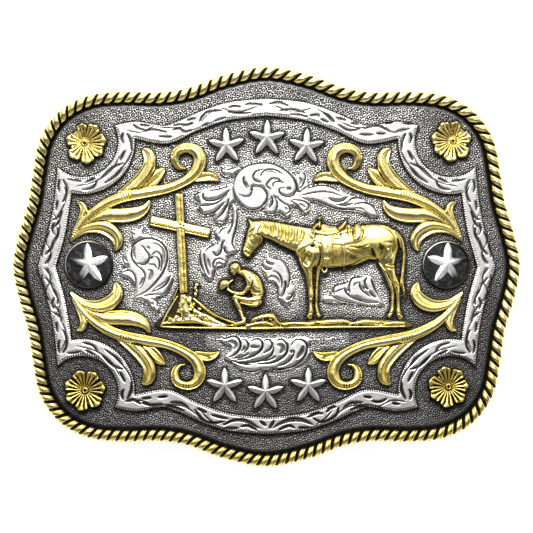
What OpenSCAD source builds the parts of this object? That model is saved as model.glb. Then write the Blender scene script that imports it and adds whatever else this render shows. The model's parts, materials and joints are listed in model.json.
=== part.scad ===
// Western belt buckle, lying face up: +X to the right and +Y up as the face is read, +Z out of the face.
// Every plan table below is drawn for a buckle 100 mm wide and is scaled by plan_k.

/* [Buckle] */
// Width over the rope edge
buckle_w = 100; // [97:0.5:103]
// Radius that the face is bowed to, about its upright middle line
bow_r = 220; // [200:5:260]
// Thickness of the back plate under the stippled field
plate_t = 2.0; // [1.8:0.1:2.4]
// Depth of the smooth channel between the field and the rope
channel_depth = 0.45; // [0.3:0.05:0.6]
// Width of that channel
channel_w = 1.2; // [0.8:0.1:1.4]
// Thickness of the ledge that carries the rope
ledge_t = 0.9; // [0.8:0.1:1.0]

/* [Rope edge] */
// Diameter of the twisted rope
rope_d = 2.5; // [2.3:0.1:2.6]
// Strands twisted together
rope_strands = 3; // [2:1:4]
// Distance along the rope from one strand to the next
crest_pitch = 2.15; // [1.95:0.05:2.4]
// Radius at the groove between two strands, as a share of the rope's radius
groove_share = 0.74; // [0.65:0.01:0.85]

/* [Relief] */
// Gap under everything that is laid on the plate
lay_gap = 0.06; // [0.04:0.01:0.1]
// Height of the ribbon border above the field
ribbon_h = 0.75; // [0.6:0.05:0.9]
// Radius of the ribbon's hollow corner on the side of the flower
ribbon_corner_r = 6.9; // [6.6:0.1:7.1]
// Width of the ribbon round the flower
ribbon_corner_w = 3.5; // [3.2:0.1:3.7]
// Height of the cross above the field
cross_h = 1.2; // [0.9:0.1:1.5]
// Width of the cross's beams
beam_w = 1.55; // [1.3:0.05:1.7]
// Height of the ground strip and the mound
ground_h = 0.9; // [0.7:0.1:1.1]
// Radius of the medallions over their rims
medallion_r = 4.7; // [4.5:0.1:4.8]
// Tip radius of the star on a medallion
big_star_r = 4.3; // [4:0.1:4.4]
// Tip radius of the six small stars
small_star_r = 3.3; // [3:0.1:3.5]

/* [Fastening] */
// Width of the belt that the loop takes
belt_w = 38; // [35:1:38]
// Room for the belt between the plate and the loop's bar
belt_room = 5.4; // [5:0.1:6]
// Diameter of the loop's bar
bar_d = 2.6; // [2.4:0.1:3]
// Radius of the two ears that hold the bar
ear_r = 2.1; // [1.9:0.1:2.4]
// Thickness of the ears
ear_t = 2.2; // [1.8:0.1:2.6]
// Distance of the loop and of the hook from the middle
fastening_x = 33; // [31:1:35]
// Diameter of the hook that enters the belt's holes
hook_d = 3.8; // [3.4:0.1:4.2]
// Lean of the hook away from the middle
hook_lean = 14; // [8:1:18]

/* [Hidden] */

GOLD = "#d8b84e";
SILVER = "#d6d6da";
OXIDE = "#56565a";

plan_k = buckle_w / 100;
rope_r = rope_d / 2;
rope_z = rope_r - ledge_t;
reach = 130;

// Columns of a table of plan points
X = 0;
Y = 1;
// Further columns of a stroke: half its width, and its height over the field
W = 2;
H = 3;

// Middle of the rope over one quarter of the buckle, from the top middle round to the right middle: X, Y
RIM = [
    [0, 37.88], [8, 36.4], [15, 33.9], [21, 33.0], [28, 33.15], [34.5, 32.5],
    [39.9, 29.7], [43.5, 24.7], [44.95, 18], [45.8, 12.5], [47.8, 5.6], [48.8, 0]
];

// Ribbon border over the same quarter: top run and right run of its outer edge, then of its inner edge: X, Y
RIBBON_TOP_OUT = [[0, 32.8], [7.5, 32.1], [13.5, 30.1], [17.5, 28.3], [20.3, 27.55], [25.5, 28.4]];
RIBBON_SIDE_OUT = [[41.7, 13], [42.9, 7], [45, 0]];
RIBBON_TOP_IN = [[0, 29.35], [7.5, 28.45], [13.5, 26.4], [19.3, 23.9]];
RIBBON_SIDE_IN = [[38.7, 10], [39.6, 5.5], [41.2, 0]];
// Middle of the ribbon's hollow corner and of the flower in it
CORNER = [36, 24.5];
// Angles of the corner arcs on the outer and the inner edge: from, to
CORNER_OUT = [153, 317];
CORNER_IN = [178, 281.5];

// Flowers: X, Y, turn
FLOWERS = [[-35.6, 24.2, 10], [36.3, 24.6, -12], [-35.5, -24.4, 4], [35.7, -24.0, -6]];
// Medallions and the stars on them: X, Y, turn
MEDALLIONS = [[-34.8, 0.35, 3], [35.1, 0.3, -1]];
// Small stars: X, Y, turn
STARS_TOP = [[-7.8, 23.7, 2], [0.15, 25.1, -1], [7.8, 23.5, -3]];
STARS_BOTTOM = [[-8.1, -23.2, 0], [-0.2, -24.6, 0], [8.1, -23.1, 0]];

// Strokes of the scroll in the upper right quarter: X, Y, W, H
SCROLL_STEM = [
    [38.3, 5.3, 0.2, 0.4], [36.9, 7.5, 0.5, 0.7], [34.6, 10.1, 0.8, 1.0], [31.7, 12.1, 1.0, 1.2],
    [28, 13.5, 1.15, 1.3], [23.5, 14.35, 1.1, 1.3], [19.5, 15.1, 0.95, 1.25], [16.3, 16.4, 0.95, 1.25],
    [14, 18.2, 1.05, 1.3], [13, 20.5, 1.1, 1.35], [13.7, 22.3, 1.05, 1.35], [15.6, 23.1, 0.95, 1.3],
    [17.5, 22.3, 0.9, 1.2], [17.9, 20.6, 0.8, 1.1], [17, 19.4, 0.5, 0.8], [16.0, 19.2, 0.2, 0.4]
];
SCROLL_LOBE = [
    [15, 17.0, 0.5, 0.9], [13.2, 17.3, 0.8, 1.0], [11.7, 17.6, 0.9, 1.0], [10.5, 17.4, 0.7, 0.9],
    [9.4, 16.8, 0.2, 0.5]
];
SCROLL_HOOK = [
    [29, 13.6, 0.6, 0.9], [26.3, 15.2, 1.0, 1.2], [24.2, 17.1, 1.1, 1.3], [22.9, 19.2, 1.0, 1.3],
    [22.5, 21, 0.8, 1.2], [23.2, 22.3, 0.5, 1.0], [24.4, 22.5, 0.2, 0.5]
];
SCROLL_POINT = [
    [26, 14.4, 0.6, 0.9], [23.9, 15.8, 1.1, 1.1], [22, 17.4, 1.1, 1.1], [20.8, 18.4, 0.7, 0.9],
    [20.1, 18.9, 0.25, 0.6]
];
SCROLL_BUD = [
    [38, 6.4, 0.2, 0.4], [36.8, 8.2, 0.5, 0.7], [35.8, 9.8, 0.6, 0.9], [35.3, 11.2, 0.45, 0.9],
    [35.9, 12, 0.3, 0.8], [36.8, 12, 0.15, 0.5]
];
SCROLL_LONG = [
    [37.3, 6.9, 0.2, 0.5], [34.6, 8.5, 0.6, 0.9], [31.4, 9.6, 1.0, 1.1], [28, 9.9, 1.2, 1.2],
    [25.5, 10.2, 1.1, 1.2], [23.7, 11.2, 0.75, 1.0], [22.7, 12.6, 0.15, 0.5]
];
SCROLL_CLASP = [
    [38.3, 5.1, 0.2, 0.4], [35.6, 6.7, 0.5, 0.8], [33, 7.2, 0.85, 1.0], [30.7, 6.8, 1.1, 1.2],
    [29.2, 5.5, 1.05, 1.1], [28.9, 4.2, 0.8, 1.0], [29.4, 3.2, 0.3, 0.6]
];
SCROLL = [SCROLL_STEM, SCROLL_LOBE, SCROLL_HOOK, SCROLL_POINT, SCROLL_BUD, SCROLL_LONG, SCROLL_CLASP];
// The lower right scroll makes room for the ground strip and the horse's hooves
SCROLL_SHORT = [SCROLL_STEM, SCROLL_LOBE, SCROLL_HOOK, SCROLL_POINT, SCROLL_BUD, SCROLL_CLASP];

// Engraved silver leaves, low on the field: each table lists its strokes, and each stroke X, Y, W, H
LEAF_TOP = [
    [[-5.6, 13.4, 0.9, 0.4], [-3.6, 14.2, 2.5, 0.6], [-0.6, 15.9, 3.8, 0.8], [2.2, 16.6, 3.1, 0.7],
        [4.3, 16.2, 1.8, 0.6], [5.5, 15.9, 0.6, 0.4]],
    [[4, 14.3, 0.8, 0.5], [8, 13.8, 1.1, 0.6], [12, 13.2, 1.4, 0.65], [15.5, 12.4, 1.4, 0.65],
        [18.6, 11.6, 1.2, 0.6], [20.6, 10.6, 0.8, 0.5], [21.1, 9.9, 0.3, 0.4]],
    [[-5.4, 14.6, 0.8, 0.5], [-9.2, 13.9, 0.8, 0.55], [-11.6, 13.6, 0.7, 0.5], [-12.8, 14.4, 0.3, 0.4]],
    [[-5.6, 13.6, 0.8, 0.5], [-9.4, 11.4, 0.9, 0.55], [-11.8, 11, 0.8, 0.5], [-13, 11.7, 0.3, 0.4]],
    [[-4, 15.8, 0.7, 0.5], [-7.2, 17.9, 0.6, 0.5], [-9, 18.4, 0.3, 0.4]],
    [[1.6, 14, 0.7, 0.5], [2.8, 11.9, 0.7, 0.5], [4.2, 10.7, 0.3, 0.35]],
    [[3.4, 14, 0.7, 0.5], [6, 12, 0.8, 0.5], [7.6, 10.7, 0.3, 0.35]]
];
LEAF_LEFT = [
    [[-25.4, -5.6, 0.4, 0.4], [-24.1, -3.8, 1.5, 0.55], [-23, -1, 2.6, 0.7], [-22.8, 1.8, 3.3, 0.75],
        [-23, 4, 2.4, 0.65], [-23.1, 5.6, 0.9, 0.4]],
    [[-24.6, -3.6, 0.9, 0.5], [-26.4, -1.2, 1.0, 0.5], [-27.4, 0.9, 0.6, 0.45], [-27.7, 2, 0.25, 0.35]],
    [[-24.6, -4.9, 0.6, 0.45], [-22.4, -6.4, 0.8, 0.5], [-21.4, -8, 0.4, 0.4]],
    [[-23.4, -3.6, 0.7, 0.4], [-20.9, -4.4, 0.7, 0.5], [-19.5, -3.5, 0.4, 0.4]]
];
LEAF_CENTRE = [
    [[-7, 9.6, 0.6, 0.4], [-6.9, 8, 0.9, 0.55], [-7.4, 5.4, 1.2, 0.6], [-9, 3.2, 1.5, 0.65],
        [-11, 1.6, 1.6, 0.65], [-11.9, -0.6, 1.1, 0.55], [-11.4, -2.1, 0.4, 0.4]],
    [[-7.6, 5.6, 0.8, 0.5], [-9.3, 6.2, 0.7, 0.5], [-9.8, 6.9, 0.25, 0.35]]
];
LEAF_CHEST = [
    [[0.2, 2.2, 0.5, 0.4], [1.6, 1.1, 1.1, 0.55], [3, -0.6, 1.4, 0.6], [3.3, -3, 1.2, 0.6],
        [3.3, -5.2, 0.9, 0.5], [3.9, -7.2, 0.3, 0.4]],
    [[2.6, -1.4, 0.7, 0.5], [0.9, -1.8, 0.8, 0.5], [-0.4, -2.6, 0.4, 0.4]]
];
LEAF_BELLY = [
    [[11.6, -6.8, 0.4, 0.4], [13.4, -6.3, 0.8, 0.5], [16, -5.7, 1.3, 0.6], [18.8, -5.3, 1.7, 0.6],
        [21, -6, 1.2, 0.5], [22.5, -6.9, 0.4, 0.4]],
    [[15.6, -5.4, 0.9, 0.5], [13.9, -4.4, 0.7, 0.5], [14.8, -3.5, 0.3, 0.4]],
    [[18, -5, 1.2, 0.55], [17.7, -3.3, 1.1, 0.55], [19.1, -2.3, 0.5, 0.4]],
    [[20.9, -5.2, 0.9, 0.5], [20.7, -3.4, 0.6, 0.45], [20.1, -2.4, 0.25, 0.35]]
];
LEAF_BOTTOM = [
    [[-7.6, -17.4, 0.5, 0.4], [-5, -17.7, 1.6, 0.55], [-2, -18, 2.0, 0.6], [1.5, -17.5, 2.2, 0.65],
        [4.6, -16.9, 2.2, 0.65], [6.9, -15.8, 1.5, 0.55], [7.9, -14.7, 0.5, 0.4]],
    [[-5, -17.2, 1.1, 0.5], [-6.2, -15.4, 1.2, 0.5], [-7.4, -14.6, 0.5, 0.4]],
    [[-1.6, -17.2, 1.1, 0.5], [-2.1, -15.4, 1.2, 0.5], [-3, -14.7, 0.5, 0.4]],
    [[3, -17, 1.2, 0.5], [2.9, -15.3, 1.3, 0.5], [1.8, -14.6, 0.5, 0.4]]
];

// The horse, facing left with its head down: X, Y, W, H
HORSE = [
    [[7.6, 3.3, 1.4, 1.2], [9.4, 3.6, 2.8, 1.7], [12.5, 3.5, 3.6, 2.0], [16, 3.9, 3.8, 2.1],
        [19.4, 4.6, 3.4, 2.0], [22.6, 4.7, 3.4, 2.0], [24.6, 4.4, 2.2, 1.6], [25.8, 4.2, 0.8, 1.1]],
    [[10, 4.2, 3.0, 1.5], [6.9, 5.1, 2.8, 1.6], [4.2, 5.8, 2.2, 1.6], [1.6, 6.8, 1.8, 1.5],
        [-0.6, 7.3, 1.7, 1.5], [-2.2, 7.7, 1.1, 1.2]],
    [[-1.3, 8.2, 0.8, 1.2], [-1.7, 6.9, 1.7, 1.6], [-2.3, 5.4, 1.6, 1.5], [-3.1, 3.9, 1.2, 1.3],
        [-3.7, 2.7, 0.9, 1.1], [-3.8, 1.9, 0.5, 0.8]],
    [[-2.4, 8, 0.5, 1.2], [-3.1, 8.6, 0.35, 1.1], [-3.5, 9.1, 0.12, 0.7]],
    [[7.2, 3.0, 1.6, 1.4], [7.7, 0.6, 1.4, 1.3], [8.2, -1.6, 0.9, 1.2], [8.5, -4, 0.55, 1.1],
        [8.6, -6.2, 0.5, 1.0], [8.6, -8.6, 0.45, 1.0], [8.3, -9.9, 0.6, 0.9]],
    [[10, 1.4, 1.2, 1.0], [9.9, -0.8, 0.6, 0.9], [9.75, -3.6, 0.38, 0.9], [9.7, -6.4, 0.35, 0.8],
        [9.9, -8.6, 0.42, 0.8], [10.2, -9.7, 0.5, 0.8]],
    [[23.4, 4.6, 2.6, 1.8], [23.9, 1.6, 1.6, 1.6], [24.1, -0.7, 0.95, 1.3], [24.9, -2.6, 0.75, 1.2],
        [25.6, -4, 0.6, 1.1], [25.6, -6.2, 0.45, 1.0], [25.7, -8.6, 0.45, 0.9], [26.1, -10, 0.6, 0.9]],
    [[22.4, 1.8, 0.9, 1.0], [23.2, -0.8, 0.6, 0.9], [24.2, -3.4, 0.5, 0.9], [24.7, -5.8, 0.36, 0.8],
        [24.5, -8.4, 0.4, 0.8], [24.1, -9.7, 0.5, 0.8]],
    [[24.8, 6.8, 0.5, 1.2], [26.1, 5.4, 0.5, 1.0], [26.8, 3, 0.4, 0.9], [26.8, 0, 0.4, 0.8],
        [26.7, -3, 0.38, 0.7], [27.1, -5.7, 0.15, 0.4]]
];
// The saddle and its blanket, lying over the horse: X, Y, W, H
saddle_lift = 2.15;
SADDLE = [
    [[9.1, 6.7, 0.7, 0.5], [10.4, 6.9, 1.4, 0.6], [13, 6.4, 1.6, 0.7], [15.6, 6.9, 1.6, 0.7], [17.6, 6.7, 1.4, 0.5]],
    [[11.6, 6.4, 1.3, 0.6], [11.7, 3.8, 1.0, 0.6], [11.3, 1.6, 0.55, 0.5]],
    [[13.7, 5.6, 1.0, 0.5], [13.9, 3.4, 0.9, 0.5], [14, 2.6, 0.5, 0.4]]
];
// Its horn and its cantle, which stand on the field above the horse's back: X, Y, W, H
SADDLE_ENDS = [
    [[10.0, 7.7, 0.55, 2.6], [10.35, 8.8, 0.45, 2.6], [10.4, 9.8, 0.35, 2.2]],
    [[14.9, 8.0, 0.6, 2.6], [15.2, 8.6, 0.5, 2.6], [15.5, 9.3, 0.35, 2.2]]
];
// The kneeling figure, its hat held in front: X, Y, W, H
FIGURE = [
    [[-5.4, -0.7, 0.7, 1.0], [-4.1, -1.4, 1.0, 1.4], [-3, -2.8, 1.4, 1.7], [-2.2, -4.4, 1.4, 1.7],
        [-1.9, -5.8, 1.1, 1.5]],
    [[-6.9, -0.4, 0.5, 0.8], [-6.3, -0.1, 0.9, 1.3], [-5.5, -0.9, 0.7, 1.1]],
    [[-3.9, -2.2, 0.7, 1.3], [-4.1, -3.8, 0.65, 1.5], [-5, -4.9, 0.55, 1.4], [-6.6, -4.8, 0.45, 1.2],
        [-7.9, -4.1, 0.4, 0.9]],
    [[-8.6, -4.4, 0.4, 0.8], [-8.2, -3.6, 0.8, 1.1], [-7.6, -3, 0.45, 0.9], [-6.9, -2.7, 0.2, 0.6]],
    [[-1.6, -6.4, 1.0, 1.3], [-3.4, -6.9, 0.9, 1.4], [-5.2, -6.4, 0.75, 1.3], [-6.4, -5.6, 0.5, 1.0]],
    [[-6.4, -5.8, 0.5, 1.0], [-5.5, -7.6, 0.5, 1.0], [-4.8, -9.4, 0.45, 0.9], [-4.4, -10.2, 0.4, 0.8]]
];

// Ground strip with the mound under the cross: outline from its lower left corner round to the right: X, Y
GROUND = [
    [-20.9, -11.9], [-19.6, -9], [-18, -6.4], [-17.3, -5.5], [-15.3, -5.5], [-14, -6.3], [-11.6, -8.4], [-9, -9.9],
    [-6, -10.9], [-3.2, -11.0], [-2.5, -10.2], [0.6, -9], [1.9, -9.6], [2.6, -10.8], [6, -10.75], [11, -10.35],
    [15, -10.1], [17, -10.8], [19, -10.1], [23, -10.45], [27.2, -10.7], [27.3, -11.9], [12, -12.1], [-6, -12.3]
];
// Stones on the mound: X, Y, radius
STONES = [[-18.7, -10.1, 0.6], [-17.2, -10.2, 0.55], [-16, -7.2, 0.9], [-14.6, -9.3, 0.6], [-12.4, -10, 0.5]];
// Cross: ends of the post and of the beam: X, Y
POST = [[-17.05, 14.3], [-16.15, -5.2]];
BEAM = [[-22.7, 9.2], [-11, 6.65]];

// Sections of a stroke, as shares of its half width and its height
DOME = [[-1, 0], [-0.72, 0.72], [0, 1], [0.72, 0.72], [1, 0]];

drop_at_fastening = bow_r - sqrt(bow_r * bow_r - fastening_x * fastening_x);
lift = drop_at_fastening + plate_t + belt_room + bar_d / 2 + ear_r;

function face_z(x) = sqrt(bow_r * bow_r - x * x) - bow_r;
function plan(row) = [for (i = [0:len(row) - 1]) i == H ? row[i] : row[i] * plan_k];

// Curve through four rows, at share f of the way from b to c
function between(a, b, c, d, f) =
    (2 * b + (c - a) * f + (2 * a - 5 * b + 4 * c - d) * f * f + (3 * b - a - 3 * c + d) * f * f * f) / 2;
function curve(rows, steps) = let (n = len(rows) - 1) [
    for (i = [0:n - 1]) for (k = [0:steps - 1])
        between(rows[max(i - 1, 0)], rows[i], rows[i + 1], rows[min(i + 2, n)], k / steps),
    rows[n]
];
function closed_curve(rows, steps) = let (n = len(rows)) [
    for (i = [0:n - 1]) for (k = [0:steps - 1])
        between(rows[(i + n - 1) % n], rows[i], rows[(i + 1) % n], rows[(i + 2) % n], k / steps)
];
function unit(v) = v / norm(v);
function left_of(v) = [-v[Y], v[X]];
function backwards(rows) = [for (i = [len(rows) - 1:-1:0]) rows[i]];

// One quarter's points, mirrored into a whole outline that runs clockwise from the top middle
function four_quarters(q) = let (n = len(q) - 1) [
    each q,
    for (i = [n - 1:-1:0]) [q[i][X], -q[i][Y]],
    for (i = [1:n]) [-q[i][X], -q[i][Y]],
    for (i = [n - 1:-1:1]) [-q[i][X], q[i][Y]]
];

// The rope's middle line moved inwards, as an outline
function rim(inset, steps) = let (p = closed_curve(four_quarters([for (r = RIM) plan(r)]), steps), n = len(p)) [
    for (i = [0:n - 1]) p[i] - inset * left_of(unit(p[(i + 1) % n] - p[(i + n - 1) % n]))
];

function arc(middle, r, angles, steps) = [
    for (k = [0:steps]) let (a = angles[0] + (angles[1] - angles[0]) * k / steps)
        middle + r * [cos(a), sin(a)]
];
// The ribbon's edge over one quarter: the top run, the hollow corner's arc and the side run
function ribbon_quarter(top, r, angles, side) = let (steps = 12, a = arc(CORNER, r, angles, steps)) [
    for (row = curve([each top, a[0]], 3)) plan(row),
    for (i = [1:steps - 1]) plan(a[i]),
    for (row = curve([a[steps], each side], 3)) plan(row)
];

module seat() translate([0, 0, lift]) children();
module on_face(x, y) translate([x, y, face_z(x)]) rotate([0, asin(x / bow_r), 0]) children();

module bow(r) translate([0, 0, -bow_r]) rotate([90, 0, 0]) cylinder(r = r, h = reach, center = true, $fn = 360);

// A sheet that follows the bowed face, from bottom to top over the field
module bowed_sheet(bottom, top) difference() {
    bow(bow_r + top);
    bow(bow_r + bottom);
}

// An outline cut out of such a sheet
module cut_sheet(outline, bottom, top) intersection() {
    translate([0, 0, -reach / 4]) linear_extrude(reach / 2) polygon(outline);
    bowed_sheet(bottom, top);
}

// A closed skin over rings of points, each ring running from the right side over the top to the left
function skin_faces(rings, n, closed) = [
    for (i = [0:rings - (closed ? 1 : 2)]) for (j = [0:n - 1])
        let (a = i * n + j, b = i * n + (j + 1) % n, next = ((i + 1) % rings) * n)
            each [[a, b, next + (j + 1) % n], [a, next + (j + 1) % n, next + j]]
];
function end_faces(first, n, towards) = [
    for (j = [1:n - 2]) towards ? [first, first + j, first + j + 1] : [first, first + j + 1, first + j]
];

// A raised stroke with a domed section that lies on the bowed face
module stroke(rows, steps = 2, base = 0) {
    p = curve([for (r = rows) plan(r)], steps);
    n = len(p);
    m = len(DOME);
    points = [
        for (i = [0:n - 1])
            let (side = left_of(unit([for (c = [X, Y]) p[min(i + 1, n - 1)][c] - p[max(i - 1, 0)][c]])))
                for (d = DOME) let (x = p[i][X] + side[X] * p[i][W] * d[0])
                    [x, p[i][Y] + side[Y] * p[i][W] * d[0], face_z(x) + lay_gap + base + p[i][H] * d[1]]
    ];
    polyhedron(points, concat(skin_faces(n, m, false), end_faces(0, m, false), end_faces((n - 1) * m, m, true)));
}

module strokes(table, base = 0) for (rows = table) stroke(rows, base = base);

module back_plate() color(OXIDE) seat() {
    cut_sheet(rim(-rope_r * 0.25, 3), -plate_t, -ledge_t - lay_gap);
    cut_sheet(rim(rope_r + lay_gap, 3), -plate_t, -channel_depth);
    cut_sheet(rim(rope_r + channel_w, 3), -plate_t, 0);
}

// Place at a distance along a path whose points are listed against their distances
function place_at(s, along) = [lookup(s, along[X]), lookup(s, along[Y])];

module rope_edge() color(GOLD) seat() {
    path = rim(0, 8);
    count = len(path);
    lengths = [for (i = 0, s = 0; i <= count; s = s + norm(path[(i + 1) % count] - path[i % count]), i = i + 1) s];
    along = [for (c = [X, Y]) [for (i = [0:count]) [lengths[i], path[i % count][c]]]];
    turns = round(lengths[count] / (crest_pitch * rope_strands));
    rings_a_turn = 8;
    rings = turns * rings_a_turn;
    step = lengths[count] / rings;
    sides = 2 * rope_strands;
    points = [
        for (i = [0:rings - 1])
            let (
                p = place_at(i * step, along),
                ahead = place_at(((i + 1) % rings) * step, along),
                behind = place_at(((i + rings - 1) % rings) * step, along),
                out = left_of(unit(ahead - behind)))
                for (j = [0:sides - 1])
                    let (a = 360 * (i / rings_a_turn + j / sides), r = rope_r * (j % 2 == 0 ? 1 : groove_share))
                        [p[X] - out[X] * r * cos(a), p[Y] - out[Y] * r * cos(a), face_z(p[X]) + rope_z + r * sin(a)]
    ];
    polyhedron(points, skin_faces(rings, sides, true));
}

module ribbon_border() color(SILVER) seat() difference() {
    cut_sheet(
        four_quarters(ribbon_quarter(RIBBON_TOP_OUT, ribbon_corner_r, CORNER_OUT, RIBBON_SIDE_OUT)),
        lay_gap, ribbon_h);
    translate([0, 0, -reach / 4]) linear_extrude(reach / 2)
        polygon(four_quarters(
            ribbon_quarter(RIBBON_TOP_IN, ribbon_corner_r + ribbon_corner_w, CORNER_IN, RIBBON_SIDE_IN)));
}

// A flower of round petals about a small boss
module flower(row, petals = 6) color(GOLD) seat() on_face(row[X] * plan_k, row[Y] * plan_k) {
    petal_r = 2.1;
    sunk = 0.95;
    intersection() {
        union() {
            for (k = [0:petals - 1]) rotate(row[2] + k * 360 / petals) translate([2.25, 0, -sunk]) sphere(petal_r, $fn = 48);
            translate([0, 0, -sunk]) sphere(petal_r, $fn = 48);
        }
        translate([0, 0, lay_gap]) cylinder(r = 6, h = petal_r, $fn = 48);
    }
}

// The scroll of the upper right quarter, mirrored to the west and to the south
module scroll(west, south, table = SCROLL) color(GOLD) seat()
    mirror([west ? 1 : 0, 0, 0]) mirror([0, south ? 1 : 0, 0]) strokes(table);

// A thin dished disc inside a raised rim
module medallion(row) color(OXIDE) seat() on_face(row[X] * plan_k, row[Y] * plan_k) {
    disc_h = 0.3;
    rim_w = 0.45;
    rim_h = 0.85;
    translate([0, 0, lay_gap]) cylinder(r = medallion_r - rim_w / 2, h = disc_h, $fn = 96);
    translate([0, 0, lay_gap]) rotate_extrude($fn = 96)
        polygon([[medallion_r - rim_w, 0], [medallion_r, 0], [medallion_r - 0.1, rim_h], [medallion_r - rim_w + 0.1, rim_h]]);
}

// A star whose arms are ridged, standing on base
module faceted_star(row, r, waist, edge_h, peak_h, base) color(SILVER) seat()
    on_face(row[X] * plan_k, row[Y] * plan_k) rotate(row[2]) {
        corners = 10;
        ring = [for (i = [0:corners - 1]) let (a = 90 - i * 36, q = i % 2 == 0 ? r : r * waist) [q * cos(a), q * sin(a)]];
        points = concat(
            [for (q = ring) [q[X], q[Y], base]],
            [for (q = ring) [q[X], q[Y], base + edge_h]],
            [[0, 0, base], [0, 0, base + peak_h]]);
        faces = [
            for (i = [0:corners - 1]) let (n = (i + 1) % corners)
                each [
                    [i, 2 * corners, n],
                    [i, n, corners + n], [i, corners + n, corners + i],
                    [corners + i, corners + n, 2 * corners + 1]
                ]
        ];
        polyhedron(points, faces);
    }
module small_star(row) faceted_star(row, small_star_r, 0.34, 0.3, 1.1, lay_gap);
module medallion_star(row) faceted_star(row, big_star_r - 0.5, 0.36, 0.25, 1.3, 0.42);

module leaf(table) color(SILVER) seat() strokes(table);

// A straight beam with bevelled long edges, between two points of the face's plane
module beam(from, to, w, h) {
    d = to - from;
    bevel = 0.35;
    translate([from[X], from[Y], lay_gap]) rotate([0, 0, atan2(d[Y], d[X])])
        rotate([90, 0, 90]) linear_extrude(norm(d))
            polygon([[-w / 2, 0], [w / 2, 0], [w / 2, h - bevel], [w / 2 - bevel, h], [bevel - w / 2, h], [-w / 2, h - bevel]]);
}
module cross() color(GOLD) seat() {
    middle = plan_k * (POST[0] + POST[1]) / 2;
    on_face(middle[X], middle[Y]) {
        beam(POST[0] * plan_k - middle, POST[1] * plan_k - middle, beam_w, cross_h);
        beam(BEAM[0] * plan_k - middle, BEAM[1] * plan_k - middle, beam_w, cross_h);
    }
}

module ground() color(GOLD) seat() {
    cut_sheet([for (r = GROUND) plan(r)], lay_gap, ground_h);
    for (s = STONES) on_face(s[X] * plan_k, s[Y] * plan_k)
        translate([0, 0, max(ground_h - 0.2, s[2] + lay_gap)]) sphere(s[2], $fn = 32);
}

module kneeling_figure() color(GOLD) seat() strokes(FIGURE);
module horse() color(GOLD) seat() strokes(HORSE);
module saddle() color(GOLD) seat() {
    strokes(SADDLE, saddle_lift);
    strokes(SADDLE_ENDS);
}

// A pad that is soldered to the plate's back, under the point x, y
module pad(x, y, r, t) intersection() {
    translate([x, y, -reach / 4]) cylinder(r = r, h = reach / 2, $fn = 64);
    bowed_sheet(-plate_t - lay_gap - t, -plate_t - lay_gap);
}

// The loop that the belt's end is folded round: a bar between two ears, soldered into one piece
module belt_loop() color(SILVER) seat() {
    pad_t = 1.0;
    ear_y = belt_w / 2 + 2.2 + ear_t / 2;
    bar_z = ear_r - lift;
    top_z = -drop_at_fastening - plate_t - pad_t / 2 - lay_gap;
    neck = 1.6 * ear_r;
    translate([-fastening_x, 0, bar_z]) rotate([90, 0, 0])
        cylinder(d = bar_d, h = 2 * ear_y, center = true, $fn = 48);
    for (side = [-1, 1]) {
        pad(-fastening_x, side * ear_y, 3.2, pad_t);
        translate([-fastening_x, side * ear_y, bar_z]) {
            rotate([90, 0, 0]) cylinder(r = ear_r, h = ear_t, center = true, $fn = 48);
            translate([-neck / 2, -ear_t / 2, 0]) cube([neck, ear_t, top_z - bar_z]);
        }
    }
}

// The hook: a round post with a collar on a pad, leaning outwards, with a round tip, cut off at the plate's back
module belt_hook() color(SILVER) seat() {
    pad_t = 1.1;
    collar_r = hook_d / 2 + 1;
    collar_h = 2.7;
    tip_z = hook_d / 2 - lift;
    foot_z = -drop_at_fastening - plate_t;
    length = (foot_z - tip_z) / cos(hook_lean);
    pad(fastening_x, 0, 4.2, pad_t);
    difference() {
        translate([fastening_x, 0, foot_z]) rotate([0, 180 - hook_lean, 0]) {
            cylinder(r = collar_r, h = collar_h, $fn = 64);
            cylinder(d = hook_d, h = length, $fn = 64);
            translate([0, 0, length]) sphere(d = hook_d, $fn = 64);
        }
        bowed_sheet(-plate_t - lay_gap, plate_t);
    }
}

back_plate();
rope_edge();
ribbon_border();
flower(FLOWERS[0]);  // flower_nw
flower(FLOWERS[1]);  // flower_ne
flower(FLOWERS[2]);  // flower_sw
flower(FLOWERS[3]);  // flower_se
scroll(true, false);  // scroll_nw
scroll(false, false);  // scroll_ne
scroll(true, true);  // scroll_sw
scroll(false, true, SCROLL_SHORT);  // scroll_se
medallion(MEDALLIONS[0]);  // medallion_left
medallion(MEDALLIONS[1]);  // medallion_right
medallion_star(MEDALLIONS[0]);  // medallion_star_left
medallion_star(MEDALLIONS[1]);  // medallion_star_right
small_star(STARS_TOP[0]);  // star_top_left
small_star(STARS_TOP[1]);  // star_top_middle
small_star(STARS_TOP[2]);  // star_top_right
small_star(STARS_BOTTOM[0]);  // star_bottom_left
small_star(STARS_BOTTOM[1]);  // star_bottom_middle
small_star(STARS_BOTTOM[2]);  // star_bottom_right
leaf(LEAF_TOP);  // leaf_top
leaf(LEAF_LEFT);  // leaf_left
leaf(LEAF_CENTRE);  // leaf_centre
leaf(LEAF_CHEST);  // leaf_chest
leaf(LEAF_BELLY);  // leaf_belly
leaf(LEAF_BOTTOM);  // leaf_bottom
cross();
ground();
kneeling_figure();
horse();
saddle();
belt_loop();
belt_hook();
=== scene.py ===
"""Dresses the western belt buckle: its cast relief, its plated metals and the studio.

Plan sizes are in millimetres on the face, +X to the right and +Y up. Finished meshes are in metres, in the
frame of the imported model.
"""

import json
import logging
import math
from collections.abc import Iterable
from dataclasses import dataclass, field
from enum import Enum

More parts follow.
